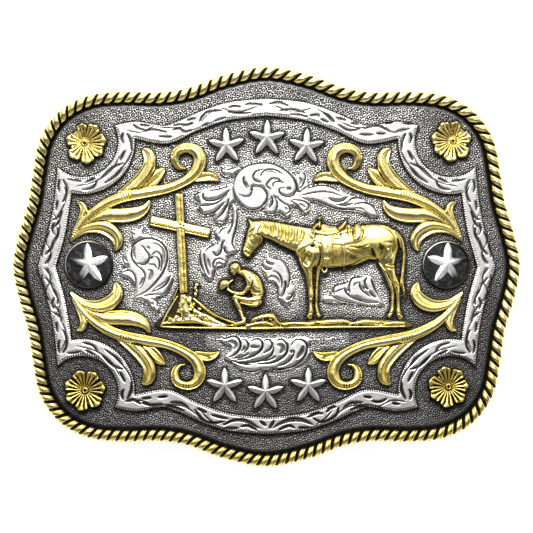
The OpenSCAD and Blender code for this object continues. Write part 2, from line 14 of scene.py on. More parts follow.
import bpy
import numpy as np
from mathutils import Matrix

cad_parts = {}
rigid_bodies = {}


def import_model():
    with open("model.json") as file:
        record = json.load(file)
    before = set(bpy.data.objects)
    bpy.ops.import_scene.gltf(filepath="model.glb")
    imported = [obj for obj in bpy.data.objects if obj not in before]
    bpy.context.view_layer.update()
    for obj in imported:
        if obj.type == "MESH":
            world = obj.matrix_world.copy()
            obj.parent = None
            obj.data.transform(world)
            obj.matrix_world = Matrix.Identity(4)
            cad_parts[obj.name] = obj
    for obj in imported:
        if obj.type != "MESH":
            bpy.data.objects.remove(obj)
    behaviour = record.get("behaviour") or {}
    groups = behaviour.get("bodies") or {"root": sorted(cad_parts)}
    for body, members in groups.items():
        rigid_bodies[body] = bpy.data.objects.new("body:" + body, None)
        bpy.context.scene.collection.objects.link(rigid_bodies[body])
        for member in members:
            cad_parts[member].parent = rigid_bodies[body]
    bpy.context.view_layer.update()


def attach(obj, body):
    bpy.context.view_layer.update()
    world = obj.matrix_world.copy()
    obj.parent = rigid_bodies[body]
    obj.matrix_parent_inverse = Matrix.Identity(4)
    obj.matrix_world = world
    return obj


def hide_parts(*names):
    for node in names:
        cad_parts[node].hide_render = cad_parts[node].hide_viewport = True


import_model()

log = logging.getLogger("buckle")
MM = 0.001
QUARTER_TURN = math.pi / 2
DEGREES_A_RADIAN = 57.3
# A distance that means nothing is near, and how far outside a stroke the distance to it is kept
FAR = 9.0
STAIN_REACH = 1.3
# The thinnest stroke and the lowest relief
LEAST_HALF_WIDTH = 0.08
LEAST_HEIGHT = 0.12
# About how deep a hollow is when the oxide fills it
DARK_HOLLOW = 0.16
# Sizes, counts round it and shifts of a rock's bulges
ROCK_BULGES = ((0.16, 2, 1), (0.13, 3, 2.3), (0.08, 7, 1))
# The flat foot is cut across at this spacing, a little off the grid's own lines
FOOT_CUT = 6
OFF_GRID = 0.037
Rows = Iterable[Iterable[float]]
Piece = bpy.types.Object


# Plan: the bowed face and the curves drawn on it


@dataclass(frozen=True)
class BowedFace:
    """The face of the plate, bowed about the buckle's upright middle line."""

    bow_r: float = 220.0
    plate_t: float = 2.0
    belt_room: float = 5.4
    bar_r: float = 1.3
    ear_r: float = 2.1
    fastening_x: float = 33.0

    def drop(self, x: np.ndarray | float) -> np.ndarray | float:
        """How far the face lies under its crown at x."""
        return self.bow_r - np.sqrt(self.bow_r**2 - np.square(x))

    @property
    def lift(self) -> float:
        """Height of the crown of the field over the floor."""
        return self.drop(self.fastening_x) + self.plate_t + self.belt_room + self.bar_r + self.ear_r

    def place(self, flat: np.ndarray) -> np.ndarray:
        """Bows points that were drawn flat.

        Args:
            flat: rows of X, Y and height over the field, in millimetres.

        Returns:
            The same points in the model's frame, in metres.
        """
        placed = flat.copy()
        placed[:, 2] += self.lift - self.drop(flat[:, 0])
        return placed * MM

    def lean(self, flat: np.ndarray, x: float, y: float) -> np.ndarray:
        """Leans points drawn about their own middle as the face leans at x, and moves them to x and y."""
        angle = math.asin(x / self.bow_r)
        return np.column_stack([
            x + flat[:, 0] * math.cos(angle) + flat[:, 2] * math.sin(angle), y + flat[:, 1],
            flat[:, 2] * math.cos(angle) - flat[:, 0] * math.sin(angle)])


FACE = BowedFace()


def between(a: np.ndarray, b: np.ndarray, c: np.ndarray, d: np.ndarray, f: np.ndarray) -> np.ndarray:
    """Points at shares f of the way from b to c on the curve through a, b, c and d."""
    return (2 * b + (c - a) * f + (2 * a - 5 * b + 4 * c - d) * f**2 + (3 * b - a - 3 * c + d) * f**3) / 2


def smooth(rows: Rows, steps: int = 8, closed: bool = False) -> np.ndarray:
    """Draws a smooth curve through rows of numbers.

    Args:
        rows: the rows that the curve goes through.
        steps: points from one row to the next.
        closed: whether the last row leads back to the first.

    Returns:
        One row of numbers for each point of the curve.
    """
    p = np.array(rows, float)
    padded = np.vstack([p[-1:], p, p[:2]]) if closed else np.vstack([p[:1], p, p[-1:]])
    f = np.arange(steps)[:, None] / steps
    spans = [between(*padded[i:i + 4], f) for i in range(len(padded) - 3)]
    return np.vstack(spans if closed else [*spans, p[-1:]])


def four_quarters(quarter: np.ndarray) -> np.ndarray:
    """Mirrors one quarter's points into an outline that runs clockwise from the top middle."""
    back = quarter[::-1]
    return np.vstack([quarter, back[1:] * (1, -1), quarter[1:] * (-1, -1), back[1:-1] * (-1, 1)])


def lengths_along(path: np.ndarray) -> np.ndarray:
    """Distance from the first point to each point of a path."""
    return np.concatenate([[0.0], np.cumsum(np.hypot(*np.diff(path[:, :2], axis=0).T))])


@dataclass(frozen=True)
class Outlines:
    """The buckle's long outlines: the rope's middle line and the ribbon's two edges."""

    rim_rows: Rows = (
        (0, 37.88), (8, 36.4), (15, 33.9), (21, 33), (28, 33.15), (34.5, 32.5), (39.9, 29.7), (43.5, 24.7),
        (44.95, 18), (45.8, 12.5), (47.8, 5.6), (48.8, 0),
    )
    corner: tuple[float, float] = (36, 24.5)

    @staticmethod
    def moved_in(points: np.ndarray, inset: float) -> np.ndarray:
        """A closed clockwise outline moved inwards."""
        ahead = np.roll(points, -1, 0) - np.roll(points, 1, 0)
        out = np.stack([-ahead[:, 1], ahead[:, 0]], 1) / np.maximum(np.hypot(*ahead.T), 1e-9)[:, None]
        return points - inset * out

    def rim(self, inset: float, steps: int = 8) -> np.ndarray:
        """The rope's middle line moved inwards by inset."""
        return self.moved_in(smooth(four_quarters(np.array(self.rim_rows, float)), steps, closed=True), inset)

    def ribbon(self, top: Rows, radius: float, angles: tuple[float, float], side: Rows) -> np.ndarray:
        """One edge of the ribbon border.

        Args:
            top: points of the top run, from the middle.
            radius: radius of the hollow corner's arc.
            angles: the arc's first and last angle, in degrees.
            side: points of the side run, to the middle.

        Returns:
            The whole outline, clockwise from the top middle.
        """
        turn = np.radians(np.linspace(*angles, 25))
        arc = np.stack([self.corner[0] + radius * np.cos(turn), self.corner[1] + radius * np.sin(turn)], 1)
        quarter = [smooth([*top, arc[0]], 6), arc[1:-1], smooth([arc[-1], *side], 6)]
        return four_quarters(np.vstack(quarter))


OUTLINES = Outlines()


# Modelling: operators and relief sheets


class Part(Enum):
    """What is picked for editing: its list in the mesh and its select mode."""

    VERTS = ("vertices", (True, False, False))
    EDGES = ("edges", (False, True, False))
    FACES = ("polygons", (False, False, True))


def deselect_all() -> None:
    """Leaves no object selected, before a primitive is added."""
    bpy.ops.object.select_all(action="DESELECT")


def pick(piece: Piece, part: Part, chosen: np.ndarray | None = None) -> None:
    """Opens a piece for editing with some of it selected.

    Args:
        piece: the piece to edit.
        part: what is selected.
        chosen: one flag for each of them; all are selected where it is left out.
    """
    for kind in Part:
        items = getattr(piece.data, kind.value[0])
        items.foreach_set("select", np.full(len(items), chosen is None))
    if chosen is not None:
        getattr(piece.data, part.value[0]).foreach_set("select", chosen)
    bpy.context.tool_settings.mesh_select_mode = part.value[1]
    bpy.ops.object.mode_set(mode="EDIT")


def close_edit() -> None:
    """Leaves edit mode."""
    bpy.ops.object.mode_set(mode="OBJECT")


def face_outwards() -> None:
    """Points all faces of the piece in edit mode outwards."""
    bpy.ops.mesh.select_all(action="SELECT")
    bpy.ops.mesh.normals_make_consistent(inside=False)


def points_of(piece: Piece) -> np.ndarray:
    """The piece's vertices as rows of X, Y, Z."""
    co = np.empty(len(piece.data.vertices) * 3)
    piece.data.vertices.foreach_get("co", co)
    return co.reshape(-1, 3)


def move_points(piece: Piece, points: np.ndarray) -> None:
    """Puts the piece's vertices at the rows of points."""
    piece.data.vertices.foreach_set("co", points.ravel())
    piece.data.update()


def selected_verts(piece: Piece) -> np.ndarray:
    """One flag for each vertex that is selected."""
    chosen = np.empty(len(piece.data.vertices), bool)
    piece.data.vertices.foreach_get("select", chosen)
    return chosen


def added(name: str) -> Piece:
    """Names the primitive that was just added."""
    piece = bpy.context.object
    piece.name = piece.data.name = name
    return piece


def rise(distance: np.ndarray | float, width: float, start: float = 0.0) -> np.ndarray | float:
    """Goes evenly from 0 at start to 1 at a width beyond it."""
    return np.clip((distance - start) / width, 0, 1)


def fall(distance: np.ndarray | float, width: float, start: float = 0.0) -> np.ndarray | float:
    """Goes evenly from 1 at start to 0 at a width beyond it."""
    return np.clip(1 - (distance - start) / width, 0, 1)


def paint(piece: Piece, name: str, values: np.ndarray) -> None:
    """Keeps one number for each vertex in a named attribute."""
    mesh = piece.data
    kept = mesh.attributes.get(name) or mesh.attributes.new(name, "FLOAT", "POINT")
    kept.data.foreach_set("value", np.asarray(values, float).ravel())


def painted(piece: Piece, name: str) -> np.ndarray:
    """The numbers of a named attribute."""
    values = np.empty(len(piece.data.vertices))
    piece.data.attributes[name].data.foreach_get("value", values)
    return values


def mirrored(piece: Piece, name: str, west: bool, south: bool) -> Piece:
    """Copies a piece to another quarter of the buckle.

    Args:
        piece: the piece to copy.
        name: the copy's name.
        west: whether it is mirrored left to right.
        south: whether it is mirrored top to bottom.

    Returns:
        The copy, with its own mesh.
    """
    copy = piece.copy()
    copy.data = piece.data.copy()
    copy.name = copy.data.name = name
    bpy.context.collection.objects.link(copy)
    move_points(copy, points_of(copy) * (-1 if west else 1, -1 if south else 1, 1))
    if west != south:
        deselect_all()
        bpy.context.view_layer.objects.active = copy
        copy.select_set(True)
        pick(copy, Part.FACES)
        bpy.ops.mesh.flip_normals()
        close_edit()
    return copy


class Section(Enum):
    """Sections of a raised stroke: share of its half width, left positive, and share of its height."""

    ROUND = ((-1, .34), (-.8, .68), (-.4, .94), (0, 1), (.4, .94), (.8, .68), (1, .34))
    FLAT = ((-1, .45), (-.85, .85), (-.5, .98), (0, 1), (.5, .98), (.85, .85), (1, .45))
    STEM = ((-1, .3), (-.85, .66), (-.45, .93), (0, 1), (.3, .92), (.5, .76), (.6, .58), (.68, .57),
            (.76, .68), (.85, .7), (.93, .58), (1, .3))
    LONG = ((-1, .34), (-.8, .75), (-.35, .98), (.1, .96), (.4, .8), (.55, .64), (.66, .6), (.76, .68),
            (.86, .68), (.94, .54), (1, .3))
    HOLLOW_LEFT = ((-1, .34), (-.8, .76), (-.45, 1), (-.15, .96), (.05, .78), (.3, .6), (.62, .56),
                   (.78, .66), (.88, .64), (1, .34))
    HOLLOW_RIGHT = ((-1, .34), (-.88, .62), (-.78, .62), (-.62, .54), (-.3, .58), (-.05, .76), (.12, .94),
                    (.4, 1), (.8, .74), (1, .34))
    GROOVED = ((-1, .34), (-.75, .76), (-.3, 1), (0, .88), (.2, .64), (.4, .58), (.6, .66), (.8, .68),
               (1, .34))
    DISHED = ((-1, .4), (-.8, .85), (-.6, .95), (-.3, .68), (.2, .56), (.55, .68), (.8, .8), (1, .4))


@dataclass(frozen=True)
class Stroke:
    """One raised stroke: rows of X, Y, half width and height, and its section."""

    rows: Rows
    section: Section = Section.ROUND
    over: bool = False


@dataclass(frozen=True)
class Trace:
    """What a path is like near each point of a window of a sheet."""

    window: tuple[slice, slice]
    gap: np.ndarray
    across: np.ndarray
    high: np.ndarray


@dataclass
class ReliefSheet:
    """A patch of the face's plane on which relief is raised and then cut, in millimetres.

    Arrays have a row for each y and a column for each x. inside is the distance in from the piece's outline.
    """

    low: tuple[float, float]
    high: tuple[float, float]
    step: float = 0.1
    base: float = -0.03
    x: np.ndarray = field(init=False, repr=False)
    y: np.ndarray = field(init=False, repr=False)
    height: np.ndarray = field(init=False, repr=False)
    inside: np.ndarray = field(init=False, repr=False)
    depth: np.ndarray = field(init=False, repr=False)
    stain: np.ndarray = field(init=False, repr=False)
    frayed: np.ndarray = field(init=False, repr=False)

    def __post_init__(self) -> None:
        """Lays out the grid of points."""
        spans = (np.arange(self.low[i], self.high[i] + self.step, self.step) for i in (0, 1))
        self.x, self.y = np.meshgrid(*spans)
        self.height, self.depth, self.stain, self.frayed = (np.zeros_like(self.x) for _ in range(4))
        self.inside = np.full_like(self.x, -FAR)

    def window(self, points: np.ndarray, reach: float) -> tuple[slice, slice]:
        """The grid's rows and columns within reach of some points."""
        lo = (points[:, :2].min(0) - reach - self.low) / self.step
        hi = (points[:, :2].max(0) + reach - self.low) / self.step + 2
        rows, cols = self.x.shape
        return (slice(max(int(lo[1]), 0), min(max(int(hi[1]), 0), rows)),
                slice(max(int(lo[0]), 0), min(max(int(hi[0]), 0), cols)))

    def trace(self, path: np.ndarray, reach: float) -> Trace:
        """Finds the nearest place on a path for each point near it.

        Args:
            path: rows of X, Y, half width and height.
            reach: how far beyond the half width points are looked at.

        Returns:
            The gap to the stroke's edge (negative inside it), the signed share across it (left positive) and
            its height there.
        """
        window = self.window(path, path[:, 2].max() + reach)
        shape = self.x[window].shape
        gap, across, high = np.full(shape, FAR), np.ones(shape), np.zeros(shape)
        for a, b in zip(path, path[1:]):
            near = self.window(np.stack([a, b]), max(a[2], b[2]) + reach)
            local = tuple(slice(n.start - w.start, n.stop - w.start) for n, w in zip(near, window))
            dx, dy = b[:2] - a[:2]
            length = math.hypot(dx, dy)
            if length < 1e-6:
                continue
            px, py = self.x[near] - a[0], self.y[near] - a[1]
            share = np.clip((px * dx + py * dy) / length**2, 0, 1)
            qx, qy = px - share * dx, py - share * dy
            away = np.hypot(qx, qy)
            wide = a[2] + share * (b[2] - a[2])
            better = away - wide < gap[local]
            gap[local] = np.where(better, away - wide, gap[local])
            side = np.where(dx * qy - dy * qx >= 0, 1, -1)
            across[local] = np.where(better, side * away / wide, across[local])
            high[local] = np.where(better, a[3] + share * (b[3] - a[3]), high[local])
        return Trace(window, gap, across, high)

    def outline(self, points: np.ndarray, reach: float = 2.0) -> np.ndarray:
        """Distance in from a closed outline, negative outside it and cut off at reach."""
        nearest = np.full_like(self.x, reach)
        within = np.zeros(self.x.shape, bool)
        xs, ys = self.x[0], self.y[:, 0]
        for a, b in zip(points, np.roll(points, -1, 0)):
            near = self.window(np.stack([a, b]), reach)
            dx, dy = b - a
            px, py = self.x[near] - a[0], self.y[near] - a[1]
            share = np.clip((px * dx + py * dy) / max(dx * dx + dy * dy, 1e-9), 0, 1)
            nearest[near] = np.minimum(nearest[near], np.hypot(px - share * dx, py - share * dy))
            crossed = (ys > min(a[1], b[1])) & (ys <= max(a[1], b[1]))
            if crossed.any():
                at = a[0] + (ys[crossed] - a[1]) * dx / dy
                within[crossed] ^= xs[None, :] < at[:, None]
        return np.where(within, nearest, -nearest)

    def raise_stroke(self, stroke: Stroke, blend: float = 0.0) -> None:
        """Raises a stroke on the sheet.

        Args:
            stroke: the stroke.
            blend: size of the fillet where it meets what is there already.
        """
        rows = smooth(stroke.rows)
        rows[:, 2] = np.maximum(rows[:, 2], LEAST_HALF_WIDTH)
        t = self.trace(rows, STAIN_REACH)
        shares, levels = smooth(stroke.section.value, 5).T
        top = t.high * np.interp(np.clip(t.across, -1, 1), shares, levels)
        there = self.height[t.window]
        mixed = np.maximum(there, top)
        if blend:
            share = np.clip(0.5 + 0.5 * (top - there) / blend, 0, 1)
            mixed = there + (top - there) * share + blend * share * (1 - share)
        if stroke.over:
            mixed = np.where(t.gap <= 0, top, mixed)
        touched = t.gap < 1.6 * self.step
        self.height[t.window] = np.where(touched, mixed, there)
        self.inside[t.window] = np.maximum(self.inside[t.window], -t.gap)

    def raise_all(self, strokes: Iterable[Stroke], blend: float = 0.0) -> None:
        """Raises strokes in order, with the same fillet."""
        for stroke in strokes:
            self.raise_stroke(stroke, blend)

    @staticmethod
    def _fullness(path: np.ndarray, blunt: float) -> np.ndarray:
        """Share of its full width that a lens has at each point of its path."""
        share = lengths_along(path) / lengths_along(path)[-1]
        return np.clip(4 * share * (1 - share), 0.02, 1) ** blunt

    def cut(self, rows: Rows, wide: float = 0.3, deep: float = 0.25, lean: float = 0.0, blunt: float = 0.35,
            crisp: float = 0.7, dark: float = 1.0) -> None:
        """Engraves one lens-shaped cut.

        Args:
            rows: X and Y of points that it goes through.
            wide: its width in the middle.
            deep: its depth there.
            lean: how far its steep wall lies to the left, from -1 to 1.
            blunt: how soon it reaches its full width, from 0.1 for a tick to 1 for a long leaf.
            crisp: how closely the oxide keeps to its deepest line.
            dark: how much oxide it holds.
        """
        path = smooth(rows, 6)
        full = self._fullness(path, blunt)
        t = self.trace(np.column_stack([path, full * wide / 2 + 0.02, full * deep]), 0.05)
        at = np.clip(t.across, -1, 1)
        peak = np.clip(lean, -0.85, 0.85)
        slope = np.where(at > peak, (1 - at) / (1 - peak), (1 + at) / (1 + peak))
        hollow = t.high * np.sin(slope * QUARTER_TURN)
        self.depth[t.window] = np.maximum(self.depth[t.window], np.where(t.gap < 0, hollow, 0))
        held = np.where(t.gap < 0, slope**crisp * dark, 0)
        self.stain[t.window] = np.maximum(self.stain[t.window], held)

    def cuts(self, table: Iterable[Rows], wide: float = 0.3, deep: float = 0.25, lean: float = 0.0,
             crisp: float = 0.7) -> None:
        """Engraves cuts that share their width and depth."""
        for rows in table:
            self.cut(rows, wide, deep, lean, crisp=crisp)

    def shelve(self, rows: Rows, wide: float, deep: float) -> None:
        """Rounds the metal down to a line on the line's hollow side.

        Args:
            rows: X and Y of points of the line.
            wide: how far from the line the rounding starts.
            deep: how far it goes down at the line.
        """
        path = smooth(rows, 6)
        chord = path[-1] - path[0]
        bulge = ((path - path[0]) @ (chord[1], -chord[0])).sum()
        full = self._fullness(path, 0.35)
        t = self.trace(np.column_stack([path, full * wide + 0.02, full * deep]), 0.05)
        at = np.clip(t.across * (1 if bulge > 0 else -1), -1, 1)
        sunk = t.high * np.where(at > 0, (1 - at) ** 1.7, np.clip(1 + at * 9, 0, 1))
        self.depth[t.window] = np.maximum(self.depth[t.window], np.where(t.gap < 0, sunk, 0))

    def band(self, rows: Rows, wide: float, thick: float) -> None:
        """Lays a band over what is there.

        Args:
            rows: X and Y of points that it goes through.
            wide: half its width.
            thick: its thickness.
        """
        path = smooth(rows, 6)
        t = self.trace(np.column_stack([path, np.full(len(path), wide), np.full(len(path), thick)]), 0.1)
        self.height[t.window] += np.where(t.gap < 0, thick * np.clip(-t.gap / 0.12, 0, 1) ** 0.5, 0)

    def shade_patch(self, x: float, y: float, across: float, tall: float, share: float) -> None:
        """Paints shade on an oval patch, most in its middle."""
        away = np.hypot((self.x - x) / across, (self.y - y) / tall)
        self.stain = np.maximum(self.stain, share * np.clip(1.4 - 1.4 * away, 0, 1))

    def ticks(self, rows: Rows, pitch: float, reach: float, wide: float, deep: float, steps: int = 8) -> None:
        """Cuts a row of short ticks across a line.

        Args:
            rows: X and Y of points of the line.
            pitch: distance from tick to tick.
            reach: half the length of a tick.
            wide: width of a tick.
            deep: depth of a tick.
            steps: points of the smooth line from one row to the next.
        """
        path = smooth(rows, steps)
        run = lengths_along(path)
        for s in np.arange(pitch / 2, run[-1], pitch):
            here = np.array([np.interp(s, run, path[:, i]) for i in (0, 1)])
            ahead = np.array([np.interp(s + 0.05, run, path[:, i]) for i in (0, 1)]) - here
            ahead = ahead / max(np.hypot(*ahead), 1e-9)
            across = np.array([-ahead[1], ahead[0]])
            self.cut((here - across * reach, here + across * reach), wide, deep, blunt=0.2)

    def pit(self, x: float, y: float, radius: float, deep: float) -> None:
        """Sinks a round pit."""
        away = np.hypot(self.x - x, self.y - y) / radius
        self.depth = np.maximum(self.depth, np.where(away < 1, deep * (1 - away**2), 0))
        self.stain = np.maximum(self.stain, np.clip(1.1 - away, 0, 0.8))

    def rock(self, x: float, y: float, radius: float, top: float) -> None:
        """Raises an uneven rock: a dome with bulges and broken faces that differ from place to place."""
        dx, dy = self.x - x, self.y - y
        turn, own = np.arctan2(dy, dx), x * 3.1 + y * 1.7
        bulges = sum(size * np.sin(count * turn + shift * own) for size, count, shift in ROCK_BULGES)
        away = np.hypot(dx, dy) / (radius * (1 + bulges))
        faces = 0.26 * np.abs(np.sin(dx * 2.3 / radius + own))
        faces += 0.24 * np.abs(np.sin(dy * 2.1 / radius + dx * 1.3 / radius + 2 * own))
        dome = top - radius * (1 - np.sqrt(np.clip(1 - away**2.6, 0, 1))) * 1.2 - faces * radius
        self.height = np.where(away < 1, np.maximum(self.height, dome), self.height)
        self.inside = np.maximum(self.inside, (1 - away) * radius)
        foot = np.minimum(self.stain, 0.1) + 0.4 * np.clip(away**4 - 0.3, 0, 1)
        self.stain = np.where(away < 1, foot, self.stain)

    def blurred(self, values: np.ndarray, reach: float) -> np.ndarray:
        """Values averaged over about reach, taking in only points on the piece."""
        count = max(int(round(reach * 2 / self.step)), 1)
        taps = np.exp(-0.5 * (np.arange(-count, count + 1) * self.step / reach) ** 2)
        on = (self.inside > -1.5 * self.step).astype(float)

        def spread(a: np.ndarray) -> np.ndarray:
            """Runs the kernel down the rows and then along the columns."""
            for axis in (0, 1):
                padded = np.pad(a, [(count, count) if i == axis else (0, 0) for i in (0, 1)])
                n = a.shape[axis]
                a = sum(w * np.take(padded, range(k, k + n), axis) for k, w in enumerate(taps))
            return a

        return spread(values * on) / np.maximum(spread(on), 1e-6)

    def settle(self, soften: float = 0.09) -> None:
        """Softens the raised strokes and then sinks the cuts into them."""
        self.height = self.blurred(self.height, soften)
        self.height = np.maximum(self.height - self.depth, LEAST_HEIGHT)

    def stained(self, edge: float = 0.16, rim: float = 0.75, slope_shade: float = 0.56) -> np.ndarray:
        """How dark the oxide and the painted shade lie at each point, from 0 to 1.

        Args:
            edge: how far in from the outline it is dark.
            rim: how dark it is there.
            slope_shade: how much painted shade steep and south-facing slopes take.

        Returns:
            The oxide in the cuts and hollows, painted shade on steep and south-facing slopes, and darkness
            along the outline that is partly oxide and partly painted shade.
        """
        hollow = np.clip((self.blurred(self.height, 0.34) - self.height) / DARK_HOLLOW - 0.12, 0, 1)
        # Along the outline: partly oxide at the relief's edge, partly painted shade of its walls.
        border = fall(self.inside, edge) * rim
        # Painted shade: steep slopes and slopes that face south, down the face, are darkened as if turned
        # from the light.
        rise_y, rise_x = np.gradient(self.blurred(self.height, 0.12), self.step)
        steep = rise(np.hypot(rise_x, rise_y), 1.1, 0.5) * 0.7
        painted_shade = np.maximum(steep, rise(rise_y, 0.7, 0.12)) * slope_shade
        return np.clip(np.maximum.reduce([hollow * 0.85, self.stain * 0.9, border, painted_shade]), 0, 1)

    def build(self, name: str, shade: np.ndarray | None = None) -> Piece:
        """Turns the sheet into a closed piece that stands on the field.

        Args:
            name: the piece's name.
            shade: how dark the oxide and the painted shade lie at each point; worked out from the relief
                where it is left out.

        Returns:
            The piece, in the model's frame.
        """
        rows, cols = self.x.shape
        deselect_all()
        bpy.ops.mesh.primitive_grid_add(x_subdivisions=cols - 1, y_subdivisions=rows - 1, size=1)
        piece = added(name)
        steep_y, steep_x = np.gradient(self.inside, self.step)
        pull = np.where(self.inside < 0, self.inside / (steep_x**2 + steep_y**2 + 1e-6), 0)
        pull = np.clip(pull, -2.0 * self.step, 0)
        flat = np.stack([self.x - steep_x * pull, self.y - steep_y * pull, self.height], -1)
        move_points(piece, flat.reshape(-1, 3))
        paint(piece, "shade", self.stained() if shade is None else shade)
        if self.frayed.any():
            paint(piece, "frayed", self.frayed)
        corners = np.empty(len(piece.data.polygons) * 4, int)
        piece.data.polygons.foreach_get("vertices", corners)
        on = (self.inside.ravel() > 0)[corners.reshape(-1, 4)].any(1)
        pick(piece, Part.FACES, ~on)
        bpy.ops.mesh.delete(type="FACE")
        bpy.ops.mesh.select_all(action="SELECT")
        bpy.ops.mesh.region_to_loop()
        bpy.ops.mesh.extrude_region_move()
        close_edit()
        foot = selected_verts(piece)
        points = points_of(piece)
        points[foot, 2] = self.base
        move_points(piece, points)
        # The walls are painted dark to the foot: oxide where the relief meets the field, and painted shade on
        # the walls.
        paint(piece, "shade", np.where(foot, 1.0, painted(piece, "shade")))
        bpy.ops.object.mode_set(mode="EDIT")
        bpy.ops.mesh.fill(use_beauty=False)
        bpy.ops.mesh.hide(unselected=True)
        for x in np.arange(math.ceil(self.low[0] / FOOT_CUT) * FOOT_CUT, self.high[0], FOOT_CUT):
            bpy.ops.mesh.select_all(action="SELECT")
            bpy.ops.mesh.bisect(plane_co=(x + OFF_GRID, 0, 0), plane_no=(1, 0, 0))
        bpy.ops.mesh.reveal()
        face_outwards()
        close_edit()
        move_points(piece, FACE.place(points_of(piece)))
        bpy.ops.object.shade_smooth_by_angle(angle=math.radians(78))
        return piece


# Finishes


class Slot(Enum):
    """The record's material slots."""

    GOLD = "gold_plate"
    SILVER = "antique_silver"
    FIELD = "oxidised_field"
    BACK = "back_metal"


Colour = tuple[float, float, float]


@dataclass
class Bench:
    """A node tree that is being wired."""

    tree: bpy.types.NodeTree

    def add(self, kind: str, inputs: dict | None = None, **settings: object) -> bpy.types.Node:
        """Adds one node.

        Args:
            kind: the node's type.
            inputs: what its sockets take: a value, or a socket to link from.
            settings: the node's own settings.

        Returns:
            The node.
        """
        node = self.tree.nodes.new(kind)
        for name, value in settings.items():
            setattr(node, name, value)
        for name, value in (inputs or {}).items():
            if isinstance(value, bpy.types.NodeSocket):
                self.tree.links.new(value, node.inputs[name])
            else:
                node.inputs[name].default_value = (*value, 1) if node.inputs[name].type == "RGBA" else value
        return node

    def place(self) -> bpy.types.NodeSocket:
        """The object coordinates."""
        return self.add("ShaderNodeTexCoord").outputs["Object"]

    def split(self, vector: bpy.types.NodeSocket) -> bpy.types.bpy_prop_collection:
        """The X, Y and Z of a vector."""
        return self.add("ShaderNodeSeparateXYZ", {"Vector": vector}).outputs

    def painted(self, name: str) -> bpy.types.NodeSocket:
        """The number painted on the mesh under a name."""
        return self.add("ShaderNodeAttribute", attribute_name=name).outputs["Fac"]

    def surface(self, **inputs: object) -> None:
        """Adds the surface and the output; an input is named by its socket, in small letters joined by _."""
        given = {}
        for name, value in inputs.items():
            given[name.replace("_", " ").title().replace("Ior", "IOR")] = value
        shader = self.add("ShaderNodeBsdfPrincipled", given)
        self.add("ShaderNodeOutputMaterial", {"Surface": shader.outputs["BSDF"]})

    def math(self, operation: str, a: object, b: object = 0.0, clamp: bool = False) -> bpy.types.NodeSocket:
        """One sum on two numbers or sockets."""
        return self.add("ShaderNodeMath", {0: a, 1: b}, operation=operation, use_clamp=clamp).outputs[0]

    def ramp(self, value: bpy.types.NodeSocket, low: float, high: float, start: float = 0.0,
             end: float = 1.0) -> bpy.types.NodeSocket:
        """Eases from start to end as the value goes from low to high."""
        given = {"Value": value, "From Min": low, "From Max": high, "To Min": start, "To Max": end}
        return self.add("ShaderNodeMapRange", given, interpolation_type="SMOOTHSTEP").outputs["Result"]

    def mix(self, share: object, first: object, second: object) -> bpy.types.NodeSocket:
        """A colour between two others."""
        return self.add("ShaderNodeMix", {0: share, 6: first, 7: second}, data_type="RGBA").outputs[2]

    def cloud(self, place: bpy.types.NodeSocket, scale: object, detail: float) -> bpy.types.Node:
        """Noise on some coordinates."""
        return self.add("ShaderNodeTexNoise", {"Vector": place, "Scale": scale, "Detail": detail})

    def noise(self, scale: float, detail: float = 2.0, distortion: float = 0.0,
              roughness: float = 0.5) -> bpy.types.NodeSocket:
        """Noise on object coordinates, with scale in features a metre."""
        given = {"Vector": self.place(), "Scale": scale, "Detail": detail, "Distortion": distortion,
                 "Roughness": roughness}
        return self.add("ShaderNodeTexNoise", given).outputs["Fac"]


def shared_group(name: str, inputs: dict[str, float],
                 outputs: dict[str, str]) -> tuple[bpy.types.NodeTree, Bench, bpy.types.bpy_prop_collection]:
    """Starts a shader node group.

    Args:
        name: the group's name.
        inputs: its number inputs and their usual values.
        outputs: its outputs and their socket types.

    Returns:
        The group, its bench and the sockets that bring its inputs in.
    """
    group = bpy.data.node_groups.new(name, "ShaderNodeTree")
    for label, usual in inputs.items():
        group.interface.new_socket(label, in_out="INPUT", socket_type="NodeSocketFloat").default_value = usual
    for label, kind in outputs.items():
        group.interface.new_socket(label, in_out="OUTPUT", socket_type=kind)
    bench = Bench(group)
    return group, bench, bench.add("NodeGroupInput").outputs


